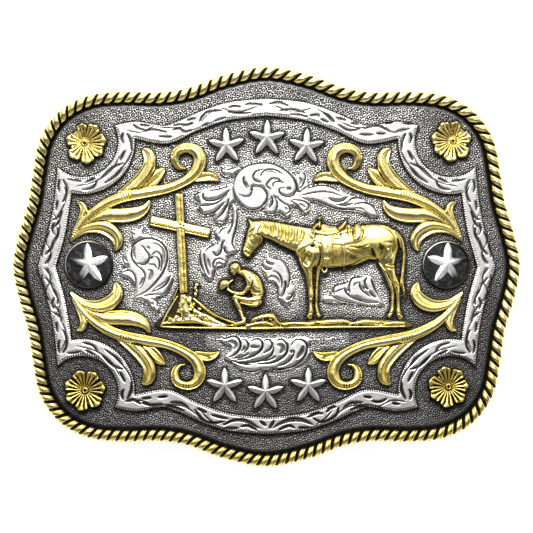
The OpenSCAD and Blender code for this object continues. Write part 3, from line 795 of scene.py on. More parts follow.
class SharedEffects:
    """Node groups that the finishes use: the wash of oxide and painted shade, the cast grain and the punch
    marks.
    """

    def __init__(self) -> None:
        """Builds the groups."""
        self.wash = self._oxide_and_shade_wash()
        self.grain = self._cast_grain()
        self.punch = self._punch_marks()

    def _oxide_and_shade_wash(self) -> bpy.types.NodeTree:
        """Where the oxide and the painted shade lie: the shade attribute, broken up a little."""
        group, bench, given = shared_group("oxide_wash", {"Unevenness": 0.25}, {"Mask": "NodeSocketFloat"})
        shade = bench.painted("shade")
        cloud = bench.math("SUBTRACT", bench.noise(900, 3), 0.5)
        uneven = bench.math("MULTIPLY", cloud, given["Unevenness"])
        mask = bench.math("ADD", shade, uneven, clamp=True)
        bench.add("NodeGroupOutput", {"Mask": mask})
        return group

    def _cast_grain(self) -> bpy.types.NodeTree:
        """Fine unevenness of cast and plated metal."""
        group, bench, given = shared_group(
            "cast_grain", {"Strength": 0.2, "Scale": 2600.0, "Lumps": 0.0}, {"Normal": "NodeSocketVector"})
        place = bench.place()
        fine, broad = (bench.cloud(place, scale, detail).outputs["Fac"]
                       for scale, detail in ((given["Scale"], 2.0), (620.0, 1.0)))
        height = bench.math("ADD", fine, bench.math("MULTIPLY", broad, given["Lumps"]))
        lifted = {"Strength": given["Strength"], "Distance": 0.00005, "Height": height}
        bump = bench.add("ShaderNodeBump", lifted)
        bench.add("NodeGroupOutput", {"Normal": bump.outputs["Normal"]})
        return group

    def _punch_marks(self) -> bpy.types.NodeTree:
        """Worm-like punch marks: waves of one length that cross from seven sides, a little warped."""
        group, bench, given = shared_group(
            "punch_marks", {"Length": 0.00043, "Warp": 0.0007}, {"Height": "NodeSocketFloat"})
        place = bench.place()
        drift = {0: bench.cloud(place, 800.0, 1.0).outputs["Color"], "Scale": given["Warp"]}
        scaled = bench.add("ShaderNodeVectorMath", drift, operation="SCALE").outputs[0]
        warped = bench.add("ShaderNodeVectorMath", {0: place, 1: scaled}, operation="ADD").outputs[0]
        pace = bench.math("DIVIDE", math.tau, given["Length"])
        sides, total = 7, 0.0
        for i in range(sides):
            turn = math.pi * (i + 0.17 * math.sin(5.0 * i)) / sides
            side = (math.cos(turn), math.sin(turn), 0.0)
            along = bench.add("ShaderNodeVectorMath", {0: warped, 1: side}, operation="DOT_PRODUCT")
            phase = bench.math("ADD", bench.math("MULTIPLY", along.outputs["Value"], pace), 1.9 * i)
            total = bench.math("ADD", bench.math("SINE", phase), total)
        bench.add("NodeGroupOutput", {"Height": total})
        return group


def blank_material(name: str) -> tuple[bpy.types.Material, Bench]:
    """A material with an empty node tree, and its bench."""
    material = bpy.data.materials.new(name)
    material.use_nodes = True
    material.node_tree.nodes.clear()
    return material, Bench(material.node_tree)


def place_group(bench: Bench, group: bpy.types.NodeTree, **values: float) -> bpy.types.Node:
    """Places a shared group with its own values."""
    node = bench.tree.nodes.new("ShaderNodeGroup")
    node.node_tree = group
    for name, value in values.items():
        node.inputs[name.capitalize()].default_value = value
    return node


@dataclass(frozen=True)
class WashedMetal:
    """A bright plated metal whose hollows hold a dark oxide, with painted shade on its slopes and towards the
    bottom.
    """

    name: str
    bright: Colour
    warm: Colour
    dark: Colour
    polish: float = 0.17
    dull: float = 0.45
    grain: float = 0.26
    lumps: float = 2.0
    unevenness: float = 0.2
    south_shade: float = 0.38
    punched: bool = False

    def make(self, shared: SharedEffects) -> bpy.types.Material:
        """Builds the material: painted shade darkens it towards the bottom, and frayed parts take punch
        marks.
        """
        material, bench = blank_material(self.name)
        mask = place_group(bench, shared.wash, unevenness=self.unevenness).outputs["Mask"]
        parts = bench.split(bench.place())
        # Painted shade: the colour darkens towards the bottom of the buckle, as if less light reached it.
        south = bench.ramp(parts["Y"], -0.031, -0.006, self.south_shade, 0.0)
        mask = bench.math("ADD", mask, south, clamp=True)
        if self.punched:
            marks = bench.ramp(place_group(bench, shared.punch).outputs["Height"], -1.6, 0.9, 0.8, 0.0)
            mask = bench.math("MAXIMUM", mask, bench.math("MULTIPLY", marks, bench.painted("frayed")))
        tone = bench.mix(bench.ramp(mask, 0.08, 0.5), self.bright, self.warm)
        colour = bench.mix(bench.ramp(mask, 0.42, 0.82), tone, self.dark)
        wear = bench.ramp(bench.noise(320, 4, 0.4), 0.35, 0.7, 0.0, 0.06)
        rough = bench.math("ADD", bench.ramp(mask, 0.1, 0.8, self.polish, self.dull), wear)
        grain = place_group(bench, shared.grain, strength=self.grain, scale=2600.0, lumps=self.lumps)
        bench.surface(base_color=colour, metallic=1.0, roughness=rough, normal=grain.outputs["Normal"])
        return material


@dataclass(frozen=True)
class StippledOxide:
    """The oxidised field: worm-like punch marks with rubbed tops, and painted light that makes it brightest
    in the upper middle.
    """

    name: str = "stippled_oxide"
    pit: Colour = (0.03, 0.029, 0.028)
    smooth_part: Colour = (0.12, 0.118, 0.112)
    leaf_pit: Colour = (0.2, 0.198, 0.19)
    rubbed: Colour = (0.86, 0.84, 0.8)
    # The painted light on the rubbed tops: its least and most, the heights between which it rises, and how
    # much is kept at the sides and at the very top.
    least_painted_light: float = 0.42
    most_painted_light: float = 1.6
    painted_light_from: float = -0.016
    painted_light_to: float = 0.021
    side_painted_light: float = 0.55
    top_painted_light: float = 0.72

    def _painted_light_by_place(self, bench: Bench) -> bpy.types.NodeSocket:
        """Painted light: how bright the rubbed tops are by place, most in the upper middle and least at the
        sides and the bottom; also brighter round the leaf panels, in random patches.
        """
        parts = bench.split(bench.place())
        north = bench.ramp(parts["Y"], self.painted_light_from, self.painted_light_to, self.least_painted_light, self.most_painted_light)
        side = bench.ramp(bench.math("ABSOLUTE", parts["X"]), 0.022, 0.037, 1.0, self.side_painted_light)
        patches = bench.ramp(bench.noise(170, 3), 0.32, 0.68, 0.6, 1.1)
        leafy = bench.math("ADD", bench.painted("by_leaves"), 0.62)
        north = bench.math("MULTIPLY", north, bench.ramp(parts["Y"], 0.029, 0.035, 1.0, self.top_painted_light))
        by_place, by_leaves = bench.math("MULTIPLY", north, side), bench.math("MULTIPLY", patches, leafy)
        return bench.math("MULTIPLY", by_place, by_leaves, clamp=True)

    def make(self, shared: SharedEffects) -> bpy.types.Material:
        """Builds the material. The painted stipple says where the punch marks are."""
        material, bench = blank_material(self.name)
        stipple = bench.painted("stipple")
        mask = place_group(bench, shared.wash, unevenness=0.35).outputs["Mask"]
        marks = place_group(bench, shared.punch).outputs["Height"]
        tops = bench.ramp(marks, -1.7, 2.3)
        clear = bench.math("SUBTRACT", 1.0, mask, clamp=True)
        # The rubbed tops, brightened by painted light by place.
        rub = bench.math("MULTIPLY", bench.math("MULTIPLY", tops, self._painted_light_by_place(bench)),
                         bench.math("MULTIPLY", clear, stipple))
        pits = bench.mix(bench.math("MULTIPLY", bench.painted("by_leaves"), clear), self.pit, self.leaf_pit)
        under = bench.mix(bench.math("ADD", stipple, mask, clamp=True), self.smooth_part, pits)
        colour = bench.mix(rub, under, self.rubbed)
        rough = bench.ramp(rub, 0.0, 1.0, 0.4, 0.3)
        lift = bench.math("MULTIPLY", marks, bench.math("MULTIPLY", stipple, 0.14))
        bump = bench.add("ShaderNodeBump", {"Strength": 0.6, "Distance": 0.00025, "Height": lift})
        bench.surface(base_color=colour, metallic=1.0, roughness=rough, normal=bump.outputs["Normal"])
        return material


@dataclass(frozen=True)
class BlackEnamel:
    """Glossy black, for the medallions' discs."""

    name: str = "black_enamel"
    colour: Colour = (0.007, 0.007, 0.008)
    # Lighter grey streaks painted in the black as painted reflections.
    streak: Colour = (0.05, 0.05, 0.052)

    def make(self, shared: SharedEffects) -> bpy.types.Material:
        """Builds the material."""
        material, bench = blank_material(self.name)
        # Painted reflection: the lighter streaks stand in for reflections on the gloss.
        colour = bench.mix(bench.ramp(bench.noise(900, 3, 0.9), 0.5, 0.7), self.colour, self.streak)
        rough = bench.ramp(bench.noise(1500, 2), 0.3, 0.7, 0.2, 0.34)
        normal = place_group(bench, shared.grain, strength=0.25, scale=1200.0, lumps=8.0).outputs["Normal"]
        bench.surface(base_color=colour, roughness=rough, specular_ior_level=0.3, normal=normal)
        return material


@dataclass(frozen=True)
class TumbledBack:
    """The plain plated back: dull, faintly streaked along the buckle, with worn spots."""

    name: str
    base: Colour
    worn: Colour
    polish: float = 0.3

    def make(self) -> bpy.types.Material:
        """Builds the material."""
        material, bench = blank_material(self.name)
        stretch = {"Vector": bench.place(), "Scale": (260, 5200, 5200)}
        drawn = bench.add("ShaderNodeMapping", stretch).outputs["Vector"]
        streak = bench.cloud(drawn, 1.0, 3.0).outputs["Fac"]
        spots = bench.ramp(bench.noise(150, 4, 0.6), 0.45, 0.68)
        colour = bench.mix(bench.math("MULTIPLY", spots, 0.7), self.base, self.worn)
        rough = bench.ramp(streak, 0.25, 0.75, self.polish, self.polish + 0.22)
        bump = bench.add("ShaderNodeBump", {"Strength": 0.25, "Distance": 0.00004, "Height": streak})
        bench.surface(base_color=colour, metallic=1.0, roughness=rough, normal=bump.outputs["Normal"])
        return material


class Finishes:
    """The buckle's materials, each made once."""

    def __init__(self) -> None:
        """Makes the shared effects and the materials."""
        shared = SharedEffects()
        gold = (1.0, 0.86, 0.35), (0.76, 0.59, 0.14), (0.034, 0.026, 0.014)
        silver = (0.91, 0.9, 0.885), (0.42, 0.405, 0.385), (0.035, 0.034, 0.033)
        satin = (0.91, 0.9, 0.885), (0.44, 0.425, 0.405), (0.035, 0.034, 0.033)
        back = (0.3, 0.29, 0.28), (0.5, 0.49, 0.47)
        fastening = (0.56, 0.55, 0.54), (0.72, 0.71, 0.7)
        self.gold = WashedMetal("polished_gold_plate", *gold, lumps=8.0).make(shared)
        self.silver = WashedMetal("burnished_silver", *silver, polish=0.2).make(shared)
        self.leaf_silver = WashedMetal("engraved_silver", *silver, polish=0.2, punched=True).make(shared)
        self.satin = WashedMetal("satin_silver", *satin, polish=0.36, lumps=5.0).make(shared)
        self.field = StippledOxide().make(shared)
        self.enamel = BlackEnamel().make(shared)
        self.plate_back = TumbledBack("dull_plate_back", *back, 0.38).make()
        self.fastening = TumbledBack("plain_back_metal", *fastening, 0.26).make()


def enrol(piece: Piece, node: str, slot: Slot, *materials: bpy.types.Material) -> None:
    """Lets a piece stand for its CAD node.

    Args:
        piece: the finished piece.
        node: the CAD node that it replaces.
        slot: the record's slot; not used.
        materials: its materials, where it has none yet.
    """
    for material in materials:
        piece.data.materials.append(material)
    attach(piece, "root")
    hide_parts(node)
    log.info("%s: %d faces, stands for %s", piece.name, len(piece.data.polygons), node)


# Plate and rope


@dataclass
class FieldPlate:
    """The bowed plate: the stippled field, the smooth cove round it and the ledge under the rope."""

    ledge_out: float = 0.3125
    ledge_drop: float = 0.96
    cove_from: float = 1.1
    cove_to: float = 1.8
    cove_depth: float = 0.42
    # Widths of the field's darkening: a ring round each piece, partly oxide and partly painted shade, and a
    # painted shadow just below it.
    ring_w: float = 0.34
    shadow_below_w: float = 0.4
    leaf_glow_w: float = 2.6
    back_normal: float = -0.3
    sheet: ReliefSheet = field(init=False, repr=False)
    near: np.ndarray = field(init=False, repr=False)
    shadow_below: np.ndarray = field(init=False, repr=False)
    by_leaves: np.ndarray = field(init=False, repr=False)

    def __post_init__(self) -> None:
        """Shapes the plate's upper side."""
        self.sheet = ReliefSheet((-50.1, -39.3), (50.1, 39.3), step=0.34, base=-FACE.plate_t)
        self.sheet.inside = self.sheet.outline(OUTLINES.rim(-self.ledge_out), reach=5.0)
        share = np.clip((self._from_rope() - self.cove_from) / (self.cove_to - self.cove_from), 0, 1)
        cove = -self.cove_depth * np.cos(share * QUARTER_TURN) ** 1.2
        self.sheet.height = np.where(self._from_rope() < self.cove_from - 0.15, -self.ledge_drop, cove)
        self.near, self.shadow_below, self.by_leaves = (np.full_like(self.sheet.x, -FAR) for _ in range(3))

    def _from_rope(self) -> np.ndarray:
        """Distance in from the rope's middle line."""
        return self.sheet.inside - self.ledge_out

    def gather(self, laid: ReliefSheet, west: bool = False, south: bool = False, spread: float = 0.0,
               leaf: bool = False) -> None:
        """Takes note of a sheet that lies on the field, for the oxide and painted shade round it and the
        painted shadow below it.

        Args:
            laid: the sheet.
            west: whether it lies mirrored left to right.
            south: whether it lies mirrored top to bottom.
            spread: how much further than usual the dark ring reaches.
            leaf: whether it is a leaf panel, with the field brighter round it.
        """
        rows, cols = laid.x.shape
        # The painted shadow is the sheet's outline moved 0.45 mm down the face.
        kept_at = [(0.0, self.near), (0.45, self.shadow_below)] + ([(0.0, self.by_leaves)] if leaf else [])
        for shift, kept in kept_at:
            x = self.sheet.x * (-1 if west else 1)
            y = (self.sheet.y + shift) * (-1 if south else 1)
            i = np.rint((y - laid.low[1]) / laid.step).astype(int)
            j = np.rint((x - laid.low[0]) / laid.step).astype(int)
            on = (i >= 0) & (i < rows) & (j >= 0) & (j < cols)
            kept[on] = np.maximum(kept[on], laid.inside[i[on], j[on]] + spread)

    def dress(self, finishes: Finishes) -> None:
        """Builds the plate and gives it its finishes, the back its own."""
        # Painted shade on the field: the ring round each piece and the painted shadow below it.
        ring, under = fall(-self.near, self.ring_w), fall(-self.shadow_below, self.shadow_below_w)
        shade = np.clip(np.maximum(ring, under) * 1.05, 0, 1)
        stipple = np.clip((self._from_rope() - self.cove_to - 0.1) / 0.4, 0, 1)
        piece = self.sheet.build("bowed_field_plate", shade)
        points = points_of(piece)[:, :2] / MM
        cells = np.rint((points - self.sheet.low) / self.sheet.step).astype(int)
        j, i = np.clip(cells, 0, np.array(stipple.shape[::-1]) - 1).T
        paint(piece, "stipple", stipple[i, j])
        paint(piece, "by_leaves", np.clip(1.12 + self.by_leaves / self.leaf_glow_w, 0, 1)[i, j])
        enrol(piece, "back_plate", Slot.FIELD, finishes.field, finishes.plate_back)
        normals = np.empty(len(piece.data.polygons) * 3)
        piece.data.polygons.foreach_get("normal", normals)
        piece.data.polygons.foreach_set("material_index", (normals[2::3] < self.back_normal).astype(int))


@dataclass
class RopeEdge:
    """The twisted rope round the outline, two strands of two plies each."""

    radius: float = 1.25
    centre_z: float = 0.35
    strands: int = 2
    pitch: float = 1.97
    longer: float = 0.1
    inset: float = 0.09
    rings_a_turn: int = 22
    sides: int = 36
    core_r: float = 0.5
    strand_half: float = 80.0
    ply_turn: float = -19.0
    ply_w: float = 5.5
    ply_depth: float = 0.12
    ply_dark: float = 0.68
    seam_from: float = 51.0
    seam_w: float = 15.0

    def build(self) -> Piece:
        """Sweeps the twisted section along the rope's middle line."""
        path = OUTLINES.rim(self.inset, 12)[::-1]
        path = np.vstack([path, path[:1]])
        run = lengths_along(path)
        rings = round(run[-1] / (self.pitch * self.strands)) * self.rings_a_turn
        deselect_all()
        bpy.ops.mesh.primitive_grid_add(x_subdivisions=rings, y_subdivisions=self.sides)
        piece = added("twisted_rope_edge")
        ring, side = np.arange(rings + 1) % rings, np.arange(self.sides + 1)[:, None] % self.sides
        round_it = np.arctan2(path[:, 1], path[:, 0])
        pace = 1 - self.longer * np.sin(round_it) - 0.6 * self.longer * np.cos(round_it)
        laid = np.concatenate([[0], np.cumsum(np.diff(run) * (pace[1:] + pace[:-1]) / 2)])
        middle = np.stack([np.interp(ring * laid[-1] / rings, laid, path[:, i]) for i in (0, 1)], 1)
        ahead = np.roll(middle[:-1], -1, 0) - np.roll(middle[:-1], 1, 0)
        out = np.stack([ahead[:, 1], -ahead[:, 0]], 1) / np.hypot(*ahead.T)[:, None]
        out = np.vstack([out, out[:1]])
        turn, lay = math.tau * side / self.sides, math.tau * ring / self.rings_a_turn
        sector = math.tau / self.strands
        off = (turn - lay + sector / 2) % sector - sector / 2
        from_top = np.clip(np.degrees(np.abs(off)) / self.strand_half, 0, 1)
        reach = self.radius * (self.core_r + (1 - self.core_r) * (1 - from_top**2.7) ** 0.55)
        ply = np.exp(-((off - math.radians(self.ply_turn)) / math.radians(self.ply_w)) ** 2)
        reach = reach - self.ply_depth * ply
        points = np.empty((*off.shape, 3))
        points[:, :, :2] = middle + out * (reach * np.cos(turn))[:, :, None]
        points[:, :, 2] = self.centre_z + reach * np.sin(turn) - FACE.drop(middle[:, 0]) + FACE.lift
        move_points(piece, points.reshape(-1, 3) * MM)
        # Oxide in the seams between strands and in the ply groove; painted shade on the rope's underside, and
        # oxide with painted shade on its inner side by the cove.
        seam = rise(np.degrees(np.abs(off)), self.seam_w, self.seam_from)
        shaded_underside = np.clip(-np.sin(turn) * 1.5 + 0.2, 0, 0.7)
        inner_oxide_and_shade = np.clip((-np.cos(turn) - 0.72) / 0.2, 0, 0.95)
        dark = np.broadcast_arrays(seam, ply * self.ply_dark, shaded_underside, inner_oxide_and_shade)
        paint(piece, "shade", np.maximum.reduce(dark))
        pick(piece, Part.FACES)
        bpy.ops.mesh.remove_doubles(threshold=1e-6)
        bpy.ops.mesh.normals_make_consistent(inside=False)
        close_edit()
        bpy.ops.object.shade_smooth_by_angle(angle=math.radians(70))
        return piece

    def dress(self, finishes: Finishes) -> None:
        """Builds the rope and plates it."""
        enrol(self.build(), "rope_edge", Slot.GOLD, finishes.gold)


# Silver


@dataclass
class RibbonBorder:
    """The engraved ribbon frame with four hollow corners."""

    height: float = 0.75
    corner_r: float = 6.9
    corner_w: float = 3.5
    edge_round: float = 0.3
    cut_w: float = 0.64
    cut_d: float = 0.36
    lean: float = 0.45
    crisp: float = 0.6
    border: float = 0.46
    border_w: float = 0.12
    border_d: float = 0.08
    tick_pitch: float = 0.46
    tick_inset: float = 0.24
    top_out: Rows = ((0, 32.8), (7.5, 32.1), (13.5, 30.1), (17.5, 28.3), (20.3, 27.55), (25.5, 28.4))
    side_out: Rows = ((41.7, 13), (42.9, 7), (45, 0))
    top_in: Rows = ((0, 29.35), (7.5, 28.45), (13.5, 26.4), (19.3, 23.9))
    side_in: Rows = ((38.7, 10), (39.6, 5.5), (41.2, 0))
    cuts_top: tuple[Rows, ...] = (
        ((-26, 27.7), (-25.3, 27), (-23.9, 26.6)), ((-24.8, 27.6), (-22.8, 27.4)),
        ((-23.8, 26.2), (-22.2, 26.7), (-19.5, 26.1)), ((-21, 25.3), (-18.5, 25.2)),
        ((-18.3, 27.4), (-17, 27.6), (-15.6, 27.5), (-14.2, 27.9)), ((-15.5, 28.4), (-13.9, 28.9)),
        ((-18.5, 26.5), (-17, 26.8), (-16, 26.2), (-14.3, 26.6)),
        ((-13, 28.1), (-11.7, 29.9), (-8.5, 30.4)), ((-12.5, 27.2), (-11.3, 27.9)),
        ((-10.2, 28.2), (-8, 29)), ((-7.3, 30.9), (-6.3, 31.2), (-5.1, 31)),
        ((-4.2, 31.5), (-2.5, 31.7), (-0.8, 31.3)), ((-7.8, 30.1), (-5.5, 29.8), (-3, 29.9)),
        ((0.6, 31.6), (2.4, 31.9), (4.2, 31.2)), ((2.6, 30.3), (5, 30.5), (7.6, 29.8)),
        ((8.5, 29.3), (9.8, 29.5), (10.2, 29.1)), ((4.6, 29.6), (6.5, 29.5), (8, 29)),
        ((10.6, 28.7), (12, 28)), ((11, 30), (12, 29.3), (13.2, 28)), ((13.6, 29), (15.5, 28.4)),
        ((16.5, 27.9), (18.2, 27.7)), ((14, 27.6), (16, 26.5), (18.4, 26.8)),
        ((19, 26.7), (21.3, 27.5), (24, 26.4)), ((23.2, 27.8), (24.8, 28.1)), ((26.5, 27.9), (28.6, 27.8)),
        ((25.5, 26.4), (27.9, 26.8)), ((18.2, 25.7), (20.8, 25.6)), ((21.5, 25.9), (23.2, 25.8)),
    )
    cuts_corner: tuple[Rows, ...] = (
        ((27.2, 26), (26.4, 24.3), (26.3, 22.5)), ((28, 26), (28.2, 25), (27.9, 24)),
        ((27.6, 22.6), (28.6, 20.6)), ((28, 20.1), (30, 19.3), (32.2, 17.3)),
        ((27.9, 19.6), (29.2, 17.9), (31.6, 16.2)), ((33.4, 17.3), (35.5, 16.3)),
        ((33, 16.8), (34, 15.4), (36, 14.9)), ((36.2, 16.6), (39, 17)),
    )
    cuts_side: tuple[Rows, ...] = (
        ((40.5, 17), (40.7, 15.7), (40.5, 14.4)), ((39.9, 17), (39.1, 15.5), (39.2, 13.7), (39.9, 12.4)),
        ((40.9, 12.9), (41, 12), (41.1, 10.9)), ((40, 10.9), (40.4, 9.8), (41.8, 9)),
        ((40.2, 10.4), (40.7, 8.6), (42, 7.4)), ((41.6, 8.5), (41.9, 7.2), (41.5, 6.1)),
        ((40.9, 7.6), (40.8, 6.2), (41.8, 4.6)), ((42.4, 6.9), (43.2, 5.4), (43, 4.1)),
        ((41.6, 5.2), (42.1, 3.5), (43.4, 2.2)), ((43.3, 4.4), (44, 2.9), (43.9, 1.7)),
        ((42.2, 3), (42.4, 1.6), (43.4, 0.4)),
    )
    cuts_bottom: tuple[Rows, ...] = (
        ((-8.5, -31), (-6.5, -30), (-4, -30), (-1.5, -31.5)),
        ((1.5, -31.2), (4, -29.9), (6.5, -29.7), (9, -30.8)), ((-5, -31.2), (-3.5, -31), (-1.8, -31.9)),
        ((2.3, -31.9), (4.3, -31), (5.5, -31.5)), ((-8.3, -31.5), (-5.5, -31.5)),
        ((6.2, -31.4), (8.5, -31.4)), ((-1.2, -30.1), (-0.1, -31)), ((1.5, -30), (0.6, -31.6)),
        ((-13.5, -27.6), (-11.7, -28.5)), ((-10.8, -28.9), (-7.5, -29.7)),
        ((-14, -27.8), (-12.5, -29.8), (-10.5, -30.5), (-8, -30.1)),
        ((8, -29.4), (9.8, -28.6), (11, -28.7)), ((11.7, -28.4), (12.4, -27.6), (13.6, -27.3)),
        ((9, -29.5), (11, -30.3), (13.5, -29), (14, -27.5)), ((19, -25.3), (20.5, -25.6)),
        ((20.5, -26.2), (22, -26.4), (23.5, -25.8)), ((24.5, -26.6), (26, -26.9)),
        ((15, -27.6), (16.5, -26.6), (18.8, -26.5)), ((16.3, -28), (18, -27.4), (19.8, -27.3)),
        ((-27.5, -26.4), (-26, -26), (-24.5, -26.9)), ((-24.4, -26.6), (-22.5, -27), (-20.3, -26.8)),
        ((-24.3, -25.8), (-22.5, -25.6)), ((-21.2, -25.5), (-19.3, -25.3)),
        ((-18.8, -26.5), (-16.8, -26.6), (-15.2, -27.5)), ((-19.6, -27.2), (-17.8, -27.5), (-16, -28.2)),
    )
    vines: tuple[Rows, ...] = (
        ((0.9, 31.7), (3.4, 30.5), (6.2, 30.1), (9.2, 30.9)), ((9.7, 30.8), (11.6, 29.5), (12.9, 27.9)),
        ((13.6, 28.9), (16.2, 27.3), (19.8, 27), (22.8, 27.7)), ((21.8, 27.5), (24.4, 26.2), (27.2, 26.4)),
        ((27, 25.4), (26.2, 22.8), (27.4, 20.2), (29.6, 18)),
        ((28.6, 21.6), (30.3, 18.8), (33.4, 16.6), (37.2, 15.6)),
        ((40.2, 16.6), (39.2, 14), (39.8, 11.6), (41.2, 9.4)),
        ((41.7, 10.2), (40.5, 7.6), (41.4, 4.8), (42.9, 3)), ((43.7, 5.2), (42.3, 2.6), (43, 0.2)),
    )
    corner_ticks: Rows = ((32.6, 17.9), (36.2, 17.1), (40.2, 18.6))

    def sheet(self) -> ReliefSheet:
        """Raises the ribbon and engraves it."""
        sheet = ReliefSheet((-45.8, -33.6), (45.8, 33.6), step=0.12)
        outer = OUTLINES.ribbon(self.top_out, self.corner_r, (153, 317), self.side_out)
        inner = OUTLINES.ribbon(self.top_in, self.corner_r + self.corner_w, (178, 281.5), self.side_in)
        sheet.inside = np.minimum(sheet.outline(outer), -sheet.outline(inner))
        rounding = np.sin(rise(sheet.inside, self.edge_round) * QUARTER_TURN)
        sheet.height = self.height * (0.5 + 0.5 * rounding)
        line = fall(np.abs(sheet.inside - self.border), self.border_w)
        sheet.depth, sheet.stain = line * self.border_d, line * 0.5
        sheet.cuts(self.cuts_top, self.cut_w, self.cut_d, self.lean, self.crisp)
        sheet.cuts(self.cuts_bottom, self.cut_w, self.cut_d, -self.lean, self.crisp)
        for east in (1, -1):
            for north in (1, -1):
                place, lean = (east, north), self.lean * east * north
                sheet.cuts([np.array(rows) * place for rows in self.vines], 0.3, 0.18, crisp=0.6)
                for table in (self.cuts_corner, self.cuts_side):
                    placed = [np.array(rows) * place for rows in table]
                    sheet.cuts(placed, self.cut_w, self.cut_d, lean, self.crisp)
                sheet.ticks(np.array(self.corner_ticks) * place, self.tick_pitch, 0.3, 0.22, 0.2)
        for edge, inset in ((outer, self.tick_inset), (inner, -self.tick_inset)):
            along = OUTLINES.moved_in(edge, inset)
            sheet.ticks(np.vstack([along, along[:1]]), self.tick_pitch, 0.18, 0.2, 0.12, steps=1)
        sheet.settle(0.05)
        return sheet

    def dress(self, finishes: Finishes, plate: FieldPlate) -> None:
        """Builds the ribbon and silvers it."""
        sheet = self.sheet()
        plate.gather(sheet)
        piece = sheet.build("engraved_ribbon_border", sheet.stained(rim=0.9, slope_shade=0.1))
        enrol(piece, "ribbon_border", Slot.SILVER, finishes.silver)


@dataclass
class Star:
    """A five-armed star with ridged arms."""

    node: str
    x: float
    y: float
    turn: float
    reach: float
    waist: float
    belly: float
    base: float = -0.03
    edge: float = 0.46
    tip: float = 0.5
    ridge: float = 1.05
    peak: tuple[float, float] = (0.0, 0.35)
    eased: float = 0.05

    def ring(self) -> np.ndarray:
        """The star's outline, from the top arm's tip round to the left: each arm is a blunt leaf shape."""
        side = ((0.95, 0.05), (0.78, self.belly * 0.74), (0.58, self.belly), (0.44, self.belly))
        arm = [(1.0, 0.0), *side, None, *((radius, -wide) for radius, wide in side[::-1])]
        points = []
        for i in range(5):
            for k, spot in enumerate(arm):
                turn = math.radians(90 + self.turn + 72 * (i + (k > 5)) + (36 if spot is None else 0))
                radius, wide = spot or (self.waist, 0.0)
                c, s = math.cos(turn), math.sin(turn)
                points.append((radius * c - wide * s, radius * s + wide * c))
        return np.array(points) * self.reach

    def build(self) -> Piece:
        """Shapes a disc into the star, raises it and pulls up its ridges."""
        ring = self.ring()
        deselect_all()
        bpy.ops.mesh.primitive_circle_add(vertices=len(ring), radius=1, fill_type="NGON")
        piece = added(f"ridged_{self.node}")
        move_points(piece, np.column_stack([ring, np.full(len(ring), self.base)]))
        pick(piece, Part.FACES)
        bpy.ops.mesh.extrude_region_move(TRANSFORM_OT_translate={"value": (0, 0, self.edge - self.base)})
        bpy.ops.mesh.poke()
        close_edit()
        points = points_of(piece)
        away = np.hypot(points[:, 0], points[:, 1])
        upper = points[:, 2] > self.base + 0.01
        points[(away < 0.02) & upper] = (*self.peak, self.ridge)
        points[(away > self.reach * 0.97) & upper, 2] = self.tip
        move_points(piece, FACE.lean(points, self.x, self.y))
        self._ease_edges(piece)
        placed = points_of(piece)
        placed[:, 2] += FACE.lift - FACE.drop(self.x)
        paint(piece, "shade", self._shade(placed))
        move_points(piece, placed * MM)
        bpy.ops.object.shade_smooth_by_angle(angle=math.radians(12))
        return piece

    def _ease_edges(self, piece: Piece) -> None:
        """Rounds the sharp edges of the arms a little."""
        bevel = piece.modifiers.new("eased_edges", "BEVEL")
        bevel.width, bevel.segments, bevel.limit_method = self.eased, 2, "ANGLE"
        bevel.angle_limit = math.radians(25)
        bpy.ops.object.modifier_apply(modifier=bevel.name)

    def _shade(self, placed: np.ndarray) -> np.ndarray:
        """Oxide at the foot and in the waist between the arms."""
        level = placed[:, 2] - (FACE.lift - FACE.drop(self.x))
        away = np.hypot(placed[:, 0] - self.x, placed[:, 1] - self.y) / self.reach
        waist = fall(np.abs(away - self.waist), 0.08) * np.clip(1.2 - level / 0.7, 0, 1) * 0.8
        return np.maximum(fall(level, 0.22, self.base), waist)

    def dress(self, finishes: Finishes, plate: FieldPlate, spread: float = 0.35) -> None:
        """Builds the star and silvers it."""
        ring = self.ring() + (self.x, self.y)
        patch = ReliefSheet(tuple(ring.min(0) - 1.6), tuple(ring.max(0) + 1.6), step=0.15)
        patch.inside = patch.outline(ring, 1.5)
        plate.gather(patch, spread=spread)
        enrol(self.build(), self.node, Slot.SILVER, finishes.satin)


